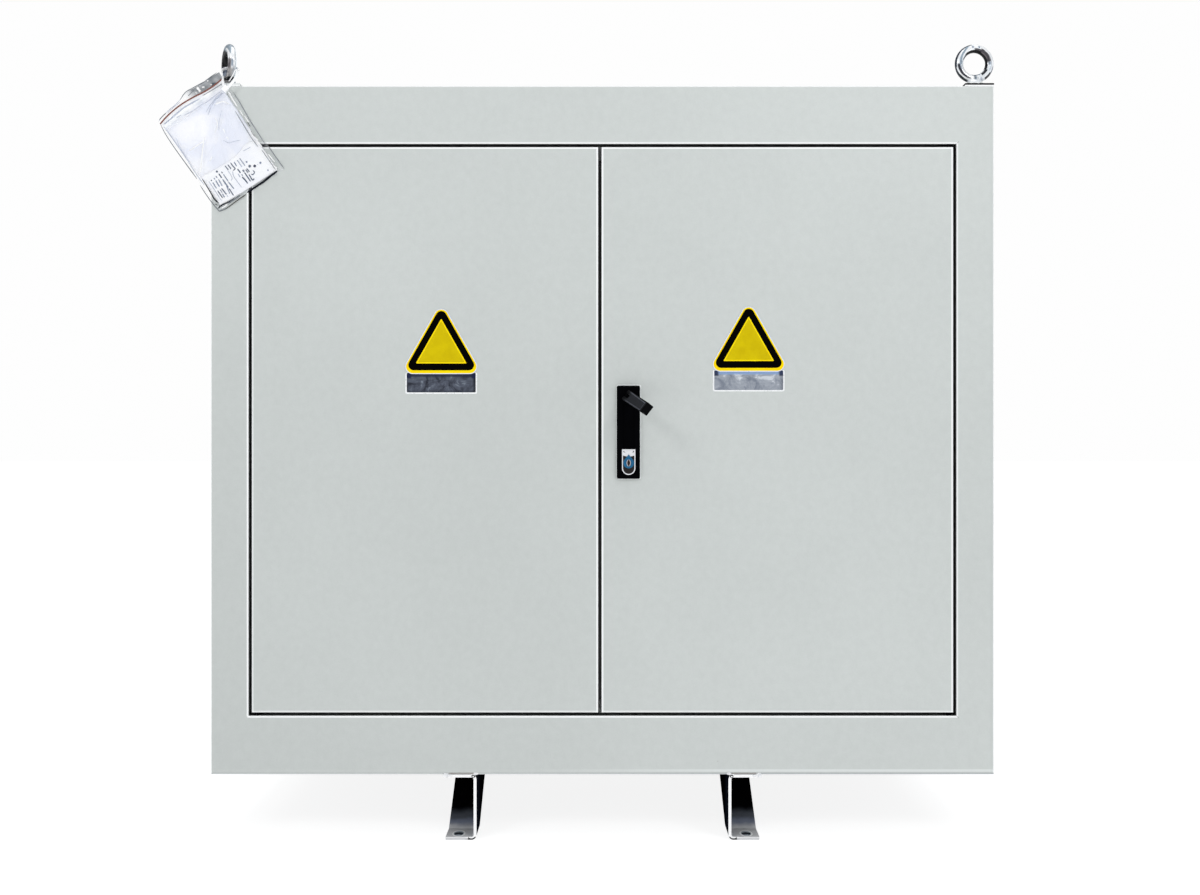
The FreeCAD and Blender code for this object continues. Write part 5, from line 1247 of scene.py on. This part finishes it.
# painted shadows, reflections, shade and glints along the folds and edges of the film: kind, widths in mm at both
# ends, points (u, v)
DARK_SHADE_AND_REFLECTION, BROWN_SHADOW, GREY_REFLECTION, PALE_SHADE, WHITE_GLINT = range(5)
CREASE_LIGHT_AND_SHADE = (
    (DARK_SHADE_AND_REFLECTION, 1.0, 2.4, ((-54.0, -27.9), (-54.7, -36.5), (-55.7, -50.3), (-57.2, -63.7), (-55.3, -72.3))),
    (DARK_SHADE_AND_REFLECTION, 2.2, 1.0, ((-60.7, -78.4), (-53.1, -78.0), (-42.8, -80.0), (-31.2, -81.5))),
    (BROWN_SHADOW, 0.8, 1.5, ((-61.5, -83.3), (-50.2, -85.1), (-37.5, -85.2), (-23.9, -85.2), (-14.1, -85.5))),
    (DARK_SHADE_AND_REFLECTION, 2.4, 2.6, ((-11.1, -84.5), (-2.9, -85.0), (7.7, -85.4), (18.3, -85.9), (30.3, -85.5), (40.3, -85.5), (45.8, -85.5))),
    (WHITE_GLINT, 1.2, 2.2, ((-57.3, -81.3), (-52.1, -81.5), (-46.0, -81.9))),
    (GREY_REFLECTION, 1.6, 1.6, ((-43.8, -81.4), (-33.3, -82.0), (-21.8, -82.3))),
    (DARK_SHADE_AND_REFLECTION, 1.5, 1.5, ((-60.2, -70.2), (-60.1, -72.9))),
    (GREY_REFLECTION, 1.2, 1.4, ((-62.9, -32.8), (-63.7, -47.6), (-63.9, -62.9), (-63.3, -73.3), (-62.7, -82.4))),
    (GREY_REFLECTION, 1.2, 1.2, ((-62.7, -82.4), (-50.4, -85.5))),
    (GREY_REFLECTION, 1.0, 1.5, ((-56.8, 78.7), (-59.6, 63.0), (-60.9, 37.3), (-61.1, 5.6), (-61.1, -22.3))),
    (PALE_SHADE, 1.4, 1.6, ((-54.7, 72.1), (-54.9, 45.6), (-55.6, 13.1), (-57.4, -17.3), (-57.1, -37.9))),
    (PALE_SHADE, 0.8, 0.9, ((-56.8, 83.1), (-47.7, 85.6), (-35.4, 87.6), (-21.9, 88.6), (-10.7, 90.4))),
    (GREY_REFLECTION, 1.2, 1.2, ((-54.6, 84.3), (-47.5, 85.9), (-40.1, 86.8))),
    (GREY_REFLECTION, 1.1, 1.4, ((-10.7, 90.4), (1.8, 93.9), (14.0, 93.2), (24.2, 92.2), (36.5, 90.4))),
    (GREY_REFLECTION, 1.0, 0.8, ((36.5, 90.4), (45.5, 90.3), (59.4, 90.8))),
    (PALE_SHADE, 0.7, 0.8, ((-38.8, 85.5), (-26.7, 87.1), (-11.6, 87.9))),
    (GREY_REFLECTION, 0.9, 0.7, ((2.8, 87.7), (8.8, 88.5), (15.3, 89.3))),
    (WHITE_GLINT, 3.6, 3.6, ((21.6, 90.6), (21.6, 86.8), (21.9, 82.2))),
    (WHITE_GLINT, 1.8, 1.8, ((15.8, 85.7), (15.7, 83.1))),
    (WHITE_GLINT, 2.0, 2.0, ((39.9, 88.9), (41.8, 87.7))),
    (WHITE_GLINT, 2.0, 1.6, ((41.1, 82.3), (42.2, 80.2))),
    (WHITE_GLINT, 2.0, 2.4, ((27.6, 86.2), (31.0, 84.2))),
    (GREY_REFLECTION, 1.2, 1.2, ((21.3, 74.5), (33.0, 73.2), (45.8, 72.1), (57.2, 71.5))),
    (PALE_SHADE, 1.9, 2.2, ((-53.5, 73.9), (-43.5, 73.9), (-25.9, 75.7), (-10.2, 76.1), (15.5, 72.8))),
    (PALE_SHADE, 1.0, 0.8, ((-30.8, 70.2), (-23.1, 69.5))),
    (PALE_SHADE, 0.8, 0.8, ((-20.6, 66.8), (-4.8, 64.8), (12.5, 63.6), (27.9, 62.4), (44.5, 64.0))),
    (PALE_SHADE, 0.8, 1.0, ((10.3, 50.7), (23.2, 55.9), (35.3, 58.8), (45.1, 59.9))),
    (PALE_SHADE, 1.8, 1.2, ((35.1, 57.2), (43.0, 58.2), (48.4, 59.3))),
    (WHITE_GLINT, 2.6, 1.6, ((56.5, 56.2), (55.2, 46.1), (54.3, 29.8))),
    (GREY_REFLECTION, 1.0, 1.0, ((61.8, 52.3), (60.3, 29.3), (57.2, 0.5), (55.9, -22.2), (54.6, -41.5))),
    (GREY_REFLECTION, 1.0, 1.0, ((56.7, -45.6), (56.4, -67.0), (56.1, -87.7))),
    (GREY_REFLECTION, 1.1, 1.1, ((47.6, 25.8), (45.5, 1.9), (43.7, -19.7), (43.8, -38.8))),
    (GREY_REFLECTION, 1.0, 1.0, ((45.6, -45.2), (45.1, -65.1), (44.9, -82.8))),
    (DARK_SHADE_AND_REFLECTION, 1.0, 1.0, ((52.9, 1.6), (52.2, -6.3))),
    (DARK_SHADE_AND_REFLECTION, 0.9, 0.9, ((48.8, -12.7), (48.5, -23.7))),
    (DARK_SHADE_AND_REFLECTION, 0.9, 1.1, ((49.3, -36.5), (52.4, -43.8))),
    (WHITE_GLINT, 1.5, 1.5, ((53.9, 23.2), (53.4, 13.4))),
    (WHITE_GLINT, 1.6, 1.6, ((55.0, 12.2), (54.2, 0.6))),
    (WHITE_GLINT, 1.4, 1.6, ((48.5, -7.9), (47.7, -21.3), (49.9, -30.5))),
    (WHITE_GLINT, 1.4, 1.4, ((48.2, -29.3), (48.8, -42.5))),
    (WHITE_GLINT, 1.6, 1.4, ((49.7, -57.0), (51.0, -72.7))),
    (WHITE_GLINT, 1.6, 2.0, ((45.8, -74.6), (47.8, -82.4))),
    (PALE_SHADE, 0.8, 1.0, ((48.3, 58.3), (35.2, 57.7), (21.3, 52.5), (10.7, 45.0))),
    (PALE_SHADE, 0.7, 0.8, ((6.6, 0.9), (10.9, -7.3), (18.7, -10.4), (28.3, -14.8))),
    (PALE_SHADE, 0.6, 0.7, ((32.2, 39.5), (19.5, 28.4), (9.0, 18.2))),
    (WHITE_GLINT, 1.5, 2.6, ((-13.6, 22.0), (-30.6, 3.8), (-51.2, -19.3))),
    (WHITE_GLINT, 2.2, 1.2, ((28.7, 52.2), (41.1, 48.3), (47.0, 38.9))),
    (WHITE_GLINT, 1.6, 1.2, ((16.6, 35.6), (13.9, 24.9), (3.3, 17.3))),
    (WHITE_GLINT, 1.6, 1.6, ((16.9, 15.0), (15.8, 8.2))),
    (WHITE_GLINT, 1.4, 1.4, ((13.8, 2.0), (13.9, -3.1))),
    (WHITE_GLINT, 1.6, 2.2, ((-46.9, 18.2), (-32.1, 17.6), (-19.5, 17.4))),
    (WHITE_GLINT, 1.4, 1.8, ((-28.7, -12.8), (-21.8, -10.2))),
    (WHITE_GLINT, 1.0, 1.0, ((-7.6, 37.9), (-7.0, 36.0))),
    (WHITE_GLINT, 1.2, 1.2, ((-45.6, 47.2), (-44.4, 44.3))),
    (PALE_SHADE, 0.7, 0.8, ((-49.8, 45.7), (-52.8, 32.7), (-55.9, 19.7))),
    (PALE_SHADE, 1.2, 0.8, ((21.9, -30.5), (28.7, -31.7), (34.7, -32.2))),
)
line_mats = [stroke_finish("crease_dark_shade_and_reflection", srgb(16, 18, 26), srgb(34, 38, 50), 0.97),
             stroke_finish("crease_brown_shadow", srgb(48, 42, 38), srgb(74, 66, 60), 0.95),
             stroke_finish("crease_grey_reflection", srgb(104, 110, 118), srgb(140, 146, 152), 0.90),
             stroke_finish("crease_pale_shade", srgb(184, 193, 212), srgb(206, 213, 228), 0.72),
             stroke_finish("crease_white_glint", srgb(253, 254, 255), srgb(255, 255, 255), 0.97)]
verts, faces, picks = [], [], []
for kind, w0, w1, points in CREASE_LIGHT_AND_SHADE:
    deep = {DARK_SHADE_AND_REFLECTION: 0.35, BROWN_SHADOW: 0.30, GREY_REFLECTION: 0.40, PALE_SHADE: 0.25, WHITE_GLINT: 0.50}[kind]
    picks += [kind] * ribbon(verts, faces, points, w0, w1, lambda u, v: sheet_at(u, v)[0] - deep)
crease_light_and_shade = solid("document_bag_creases", verts, faces, line_mats, picks, None, True)


# folded leaflet: a broad sheet, folded up at the bottom into a shorter panel with plain marks
def paper(name, low, high):
    f = Finish(name)
    fibre = f.noise(300.0, 4.0, 0.6)
    wave = f.noise(24.0, 3.0, 0.5, 0.6)
    colour = f.mix(f.span(wave, 0.34, 0.66), low, high)
    f.set("Base Color", f.mix(f.math("MULTIPLY", fibre, 0.08), colour, srgb(216, 221, 238)))
    f.set("Roughness", f.span(fibre, 0.3, 0.7, 0.55, 0.72))
    f.set("Subsurface Weight", 0.05)
    f.bump((f.noise(20.0, 3.0, 0.5, 0.5), 0.30, 0.0016), (fibre, 0.08, 0.0002))
    return f.mat


verts, faces, picks = [], [], []


def panel(left_of, right_of, low_of, high_of, y_of, nu, nv, pick):
    """A thin panel of paper with two faces, y_of gives its front at (u, v)."""
    base = len(verts)
    for side in (0, 1):
        for j in range(nv + 1):
            for i in range(nu + 1):
                u = left_of(j / nv) + (right_of(j / nv) - left_of(j / nv)) * i / nu
                v = low_of(u) + (high_of(u) - low_of(u)) * j / nv
                verts.append(from_bag(u, v, y_of(u, v) + 0.22 * side))
    block = (nu + 1) * (nv + 1)
    for j in range(nv):
        for i in range(nu):
            a = base + j * (nu + 1) + i
            faces.append((a, a + 1, a + nu + 2, a + nu + 1))
            faces.append((a + block, a + block + nu + 1, a + block + nu + 2, a + block + 1))
            picks.extend((pick, pick))
    ring_ = [base + i for i in range(nu + 1)] + \
        [base + j * (nu + 1) + nu for j in range(1, nv + 1)] + \
        [base + nv * (nu + 1) + i for i in range(nu - 1, -1, -1)] + \
        [base + j * (nu + 1) for j in range(nv - 1, 0, -1)]
    for k in range(len(ring_)):
        a, b = ring_[k], ring_[(k + 1) % len(ring_)]
        faces.append((a, b, b + block, a + block))
        picks.append(pick)


def wide_y(u, v):
    y = BACK_Y - 1.2 - 0.5 * math.sin((u + 20) * 0.045) - 0.30 * noise.noise(Vector((u * .04, v * .04, 3)))
    for a, b, width, amp in (((46, 56), (4, 6), 5.0, 0.8), ((4, 8), (-18, -42), 4.0, 0.7),
                             ((4, 8), (-40, -14), 4.0, 0.5), ((26, 4), (50, 6), 4.0, -0.5)):
        y -= amp * gauss_line(u, v, a, b, width)
    return y


def fold_y(u, v):
    return min(wide_y(u, v), BACK_Y - 1.6) - 1.0 - 0.5 * math.exp(-((v + 79) / 5) ** 2) + \
        0.3 * math.sin((u + 10) * 0.05)


FOLD_TOP = [(-54.0, -23.6), (-40, -25.6), (-27.3, -27.3), (-12, -28.6), (3.5, -28.9), (16, -27.0),
            (27.4, -23.0), (36, -23.6), (49.0, -27.4)]


def paper_low(u):
    return -77.2 - 0.0663 * (u + 56)


panel(lambda t: -56.0 + 1.2 * t, lambda t: 46.8 + 5.6 * t, paper_low,
      lambda u: 70.4 + 1.0 * math.sin(u * 0.05 + 1.0), wide_y, 50, 70, 0)
panel(lambda t: -56.0 + 2.2 * t, lambda t: 46.6 + 2.0 * t, lambda u: paper_low(u) - 0.3,
      lambda u: along_line(FOLD_TOP, clip((u + 54) / 103))[1], fold_y, 50, 24, 1)
# plain marks in place of print: kind, width in mm, points (u, v); then dots: kind, radius, middle
INK, MID, NAVY, LIGHT = 2, 3, 4, 5
MARKS = (
    (LIGHT, 0.8, ((-48.4, -36.5), (-49.2, -55.0), (-50.1, -72.5))),
    (INK, 1.8, ((-44.4, -36.7), (-44.2, -38.5))),
    (MID, 1.5, ((-44.4, -41.3), (-45.4, -52.3))),
    (INK, 1.6, ((-45.8, -56.1), (-46.1, -69.5))),
    (MID, 1.5, ((-39.1, -36.8), (-39.1, -39.7))),
    (MID, 1.6, ((-39.1, -41.5), (-40.1, -52.8))),
    (MID, 1.2, ((-41.8, -56.8), (-41.9, -62.6))),
    (MID, 1.5, ((-42.9, -64.1), (-43.1, -70.7))),
    (MID, 1.7, ((-34.8, -36.3), (-35.1, -39.9))),
    (MID, 1.5, ((-34.6, -42.7), (-35.8, -54.3))),
    (INK, 1.7, ((-38.9, -56.6), (-38.3, -68.8))),
    (LIGHT, 1.2, ((-38.4, -70.1), (-38.5, -72.8))),
    (INK, 1.8, ((-29.1, -35.9), (-29.5, -44.2))),
    (MID, 1.4, ((-29.5, -46.1), (-30.3, -56.0))),
    (MID, 1.4, ((-30.4, -57.3), (-33.5, -70.9))),
    (MID, 1.6, ((-29.3, -47.7), (-29.7, -61.9))),
    (INK, 1.5, ((-29.7, -63.3), (-30.6, -76.3))),
    (INK, 1.6, ((-24.2, -36.0), (-23.9, -38.9))),
    (MID, 1.4, ((-24.0, -40.6), (-24.4, -54.0))),
    (MID, 1.6, ((-24.5, -54.8), (-24.1, -68.3))),
    (INK, 1.5, ((-14.3, -31.8), (-13.9, -40.0))),
    (INK, 1.5, ((-9.8, -32.7), (-9.8, -41.1))),
    (INK, 1.6, ((-4.8, -32.7), (-4.9, -39.1), (-4.4, -44.0), (-8.7, -45.0))),
    (MID, 1.6, ((0.4, -34.9), (-0.4, -42.8))),
    (LIGHT, 1.4, ((5.8, -35.3), (5.4, -48.6))),
    (MID, 1.3, ((10.4, -35.3), (10.4, -49.8))),
    (LIGHT, 0.8, ((-15.3, -39.7), (-15.3, -47.8), (-17.0, -53.9), (-20.4, -55.5))),
    (LIGHT, 0.9, ((-9.7, -45.1), (-12.7, -51.1), (-13.4, -60.1), (-13.1, -73.5))),
    (INK, 1.8, ((-1.6, -46.8), (-1.7, -54.6))),
    (LIGHT, 1.4, ((-5.5, -53.6), (-5.8, -59.7))),
    (INK, 2.0, ((-3.0, -60.9), (-2.3, -67.3))),
    (INK, 1.9, ((-2.3, -65.5), (-2.1, -74.0))),
    (MID, 1.5, ((-1.4, -57.0), (-1.8, -60.0))),
    (INK, 2.2, ((3.8, -52.7), (3.9, -56.4))),
    (INK, 1.7, ((3.7, -57.2), (3.3, -74.3))),
    (INK, 1.7, ((9.9, -54.4), (10.4, -61.1))),
    (INK, 1.4, ((7.6, -55.0), (7.8, -61.5))),
    (INK, 1.7, ((7.5, -63.5), (6.9, -74.0), (10.4, -73.6))),
    (INK, 1.4, ((10.8, -65.5), (12.1, -67.6), (16.2, -66.2), (15.8, -62.3))),
)
DOTS = (
    (INK, 1.6, (-29.7, -31.6)),
    (MID, 1.4, (15.8, -46.3)),
    (INK, 2.1, (15.8, -54.3)),
    (NAVY, 2.2, (22.1, -58.6)),
    (LIGHT, 0.6, (27.1, -59.4)),
    (MID, 1.7, (32.1, -59.8)),
    (LIGHT, 1.3, (34.6, -75.8)),
)
for kind, wide, points in MARKS:
    picks += [kind] * ribbon(verts, faces, points, wide, wide, lambda u, v: fold_y(u, v) - 0.3)
for kind, r, (u, v) in DOTS:
    base = len(verts)
    for back in (0.0, 0.15):
        for k in range(14):
            w = 2 * math.pi * k / 14
            verts.append(from_bag(u + r * math.cos(w), v + r * math.sin(w),
                                  fold_y(u + r * math.cos(w), v + r * math.sin(w)) - 0.3 + back))
    faces.append(tuple(range(base, base + 14)))
    faces.append(tuple(range(base + 27, base + 13, -1)))
    for k in range(14):
        a, b = base + k, base + (k + 1) % 14
        faces.append((b, a, a + 14, b + 14))
    picks += [kind] * 16
# painted light: the folded panel takes a lighter copy of the paper than the broad sheet
leaflet = solid("folded_leaflet", verts, faces,
                [paper("leaflet_paper", srgb(236, 239, 250), srgb(252, 252, 255)),
                 paper("leaflet_panel", srgb(248, 249, 254), srgb(254, 254, 255)),
                 stroke_finish("leaflet_ink", srgb(58, 70, 92), srgb(92, 106, 130), 0.92),
                 stroke_finish("leaflet_mid", srgb(112, 126, 152), srgb(146, 158, 180), 0.85),
                 stroke_finish("leaflet_navy", srgb(34, 40, 66), srgb(56, 62, 88), 0.95),
                 stroke_finish("leaflet_light", srgb(178, 188, 208), srgb(200, 208, 224), 0.75)],
                picks, None, True)
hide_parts("leaflet")

# bake the placement of each piece of the bag into its mesh
for piece in (bag, zipper, crease_light_and_shade, leaflet):
    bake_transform(piece)


# ---------------------------------------------------------------------------------------------
# cable tie: strap round the eye and through the corner of the bag, loose tail end, square head
# ---------------------------------------------------------------------------------------------
def strap(points, wide, thick, closed):
    """A flat strap along points; it lies flat towards the front there, and faces outwards behind."""
    mid = sum(points, Vector()) / len(points)
    vs, fs = [], []
    n = len(points)
    for i, p in enumerate(points):
        a = points[(i - 1) % n] if (closed or i > 0) else p
        b = points[(i + 1) % n] if (closed or i < n - 1) else p
        t_ = (b - a).normalized()
        away = (p - mid).normalized() + Vector((0, -2.2, 0)) * clip((mid.y - p.y) / 0.008)
        away = (away - t_ * away.dot(t_)).normalized()
        side = t_.cross(away)
        for sw, sa in ((-1, -1), (1, -1), (1, 1), (-1, 1)):
            vs.append(p + side * (sw * wide / 2) + away * (sa * thick / 2))
    for i in range(n if closed else n - 1):
        j = (i + 1) % n
        for k in range(4):
            l = (k + 1) % 4
            fs.append((i * 4 + k, i * 4 + l, j * 4 + l, j * 4 + k))
    if not closed:
        fs.append((3, 2, 1, 0))
        fs.append(tuple((n - 1) * 4 + k for k in range(4)))
    return vs, fs


def seen(p):
    """A point measured on the plane of the housing front, moved to its own depth y along the sight line."""
    w = 1 + (p[1] + 350) / 2200
    return Vector((p[0] * w, p[1], 601 + (p[2] - 601) * w)) * MM


loop = [seen(p) for p in (
    (-574.0, -362.0, 1153.5), (-569.4, -362.0, 1157.8), (-564.7, -361.5, 1163.7), (-560.3, -359.5, 1171.0),
    (-559.8, -355.0, 1176.5), (-558.0, -345.0, 1181.0), (-566.0, -336.0, 1183.0), (-576.0, -336.0, 1182.0),
    (-583.0, -341.0, 1179.0), (-582.5, -350.0, 1174.0), (-582.0, -356.0, 1166.0), (-580.5, -360.0, 1157.0))]
verts, faces = strap(spline(loop, 8), 0.0039, 0.0011, True)
# the tail end lies inside the loop, over the eye
tail = [seen(p) for p in ((-572.4, -361.0, 1162.4), (-568.2, -361.2, 1168.6), (-563.4, -360.6, 1177.6),
                                 (-560.6, -358.4, 1180.6))]
v_, f_ = strap(spline(tail, 6, False), 0.0013, 0.0009, False)
base = len(verts)
verts += v_
faces += [tuple(base + q for q in t) for t in f_]
# the head: a square block with chamfered edges
hx, hy, hz = -577.9, -362.6, 1151.0
outline = rounded([(-4.5, -4.3), (4.5, -4.3), (4.5, 4.3), (-4.5, 4.3)], 0.9, 4)
turn = math.radians(47)
base = len(verts)
m = len(outline)
for scale, y in ((0.90, 2.2), (1.0, 1.6), (1.0, -1.6), (0.90, -2.2)):
    for a, b in outline:
        x = a * scale * math.cos(turn) - b * scale * math.sin(turn)
        z = a * scale * math.sin(turn) + b * scale * math.cos(turn)
        verts.append(seen((hx, hy, hz)) + Vector((x, y, z)) * MM)
for k in range(3):
    for i in range(m):
        j = (i + 1) % m
        faces.append((base + k * m + i, base + k * m + j, base + (k + 1) * m + j, base + (k + 1) * m + i))
faces.append(tuple(base + i for i in range(m)))
faces.append(tuple(base + 3 * m + i for i in reversed(range(m))))
tie = solid("cable_tie_strap", verts, faces, [nylon_white], None, "housing", False)
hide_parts("cable_tie")


# ---------------------------------------------------------------------------------------------
# studio: pale floor, soft lights, camera at the photograph's angle
# ---------------------------------------------------------------------------------------------
def floor_finish():
    f = Finish("studio_floor")
    tone = f.noise(0.8, 3.0)
    f.set("Base Color", f.mix(tone, srgb(158, 159, 160), srgb(164, 164, 164)))
    f.set("Roughness", 0.9)
    f.set("Specular IOR Level", 0.0)
    f.set("Emission Color", (1.0, 1.0, 1.0, 1.0))
    f.set("Emission Strength", 0.86)
    return f.mat


mesh = bpy.data.meshes.new("floor")
mesh.from_pydata([(-60, -60, 0), (60, -60, 0), (60, 60, 0), (-60, 60, 0)], [], [(0, 1, 2, 3)])
mesh.materials.append(floor_finish())
ground = bpy.data.objects.new("floor", mesh)
scene.collection.objects.link(ground)

world = bpy.data.worlds.new("studio")
scene.world = world
world.use_nodes = True
wt = world.node_tree
wt.nodes.clear()
w_out = wt.nodes.new("ShaderNodeOutputWorld")
w_mix = wt.nodes.new("ShaderNodeMixShader")
w_path = wt.nodes.new("ShaderNodeLightPath")
w_seen = wt.nodes.new("ShaderNodeBackground")
w_seen.inputs["Color"].default_value = (0.99, 0.99, 0.99, 1)
w_room = wt.nodes.new("ShaderNodeBackground")
w_room.inputs["Color"].default_value = (0.96, 0.98, 1.0, 1)
w_at = wt.nodes.new("ShaderNodeTexCoord")
w_xyz = wt.nodes.new("ShaderNodeSeparateXYZ")
wt.links.new(w_at.outputs["Generated"], w_xyz.inputs[0])


def w_span(value, lo, hi, a, b):
    n = wt.nodes.new("ShaderNodeMapRange")
    n.interpolation_type = "SMOOTHSTEP"
    wt.links.new(value, n.inputs["Value"])
    for key, v in (("From Min", lo), ("From Max", hi), ("To Min", a), ("To Max", b)):
        n.inputs[key].default_value = v
    return n.outputs["Result"]


def w_add(a, b):
    n = wt.nodes.new("ShaderNodeMath")
    n.operation = "ADD"
    for k, v in ((0, a), (1, b)):
        if isinstance(v, bpy.types.NodeSocket):
            wt.links.new(v, n.inputs[k])
        else:
            n.inputs[k].default_value = v
    return n.outputs[0]


ROOM = 0.15
room = w_add(w_span(w_xyz.outputs["Y"], -0.80, -0.25, 0.35, 0.0),
             w_span(w_xyz.outputs["Z"], 0.55, 0.92, 0.0, 0.45))
room = w_add(room, w_span(w_xyz.outputs["Y"], 0.35, 0.85, 0.0, 0.25))
room = w_add(room, ROOM)
wt.links.new(room, w_room.inputs["Strength"])
wt.links.new(w_path.outputs["Is Camera Ray"], w_mix.inputs["Fac"])
wt.links.new(w_room.outputs[0], w_mix.inputs[1])
wt.links.new(w_seen.outputs[0], w_mix.inputs[2])
wt.links.new(w_mix.outputs[0], w_out.inputs["Surface"])


def soft_light(name, where, look, size_x, size_y, power, colour=(1, 1, 1)):
    data = bpy.data.lights.new(name, "AREA")
    data.shape = "RECTANGLE"
    data.size, data.size_y = size_x, size_y
    data.energy = power
    data.color = colour
    obj = bpy.data.objects.new(name, data)
    scene.collection.objects.link(obj)
    obj.location = where
    obj.rotation_mode = "QUATERNION"
    obj.rotation_quaternion = (Vector(look) - Vector(where)).to_track_quat("-Z", "Y")
    obj.visible_camera = False
    return obj


soft_light("key_left", (-2.3, -3.3, 2.6), (0, -0.3, 0.6), 1.1, 1.1, 24)
soft_light("key_right", (2.3, -3.3, 2.6), (0, -0.3, 0.6), 1.1, 1.1, 28)
soft_light("overhead", (0, -0.2, 4.2), (0, 0, 0), 3.6, 3.6, 45)
soft_light("side_left", (-3.4, 0.3, 1.2), (0, 0, 0.6), 1.0, 2.2, 14)
soft_light("side_right", (3.4, 0.3, 1.2), (0, 0, 0.6), 1.0, 2.2, 14)
soft_light("back_fill", (0.6, 4.0, 2.4), (0, 0, 0.6), 2.6, 1.6, 30)

camera_data = bpy.data.cameras.new("photo_camera")
camera_data.sensor_width = 36.0
camera_data.lens = 43.075
camera_data.clip_start, camera_data.clip_end = 0.05, 200
camera = bpy.data.objects.new("photo_camera", camera_data)
scene.collection.objects.link(camera)
camera.location = (-0.0038, -2.55, 0.6011)
camera.rotation_euler = (math.radians(90), 0, 0)
scene.camera = camera
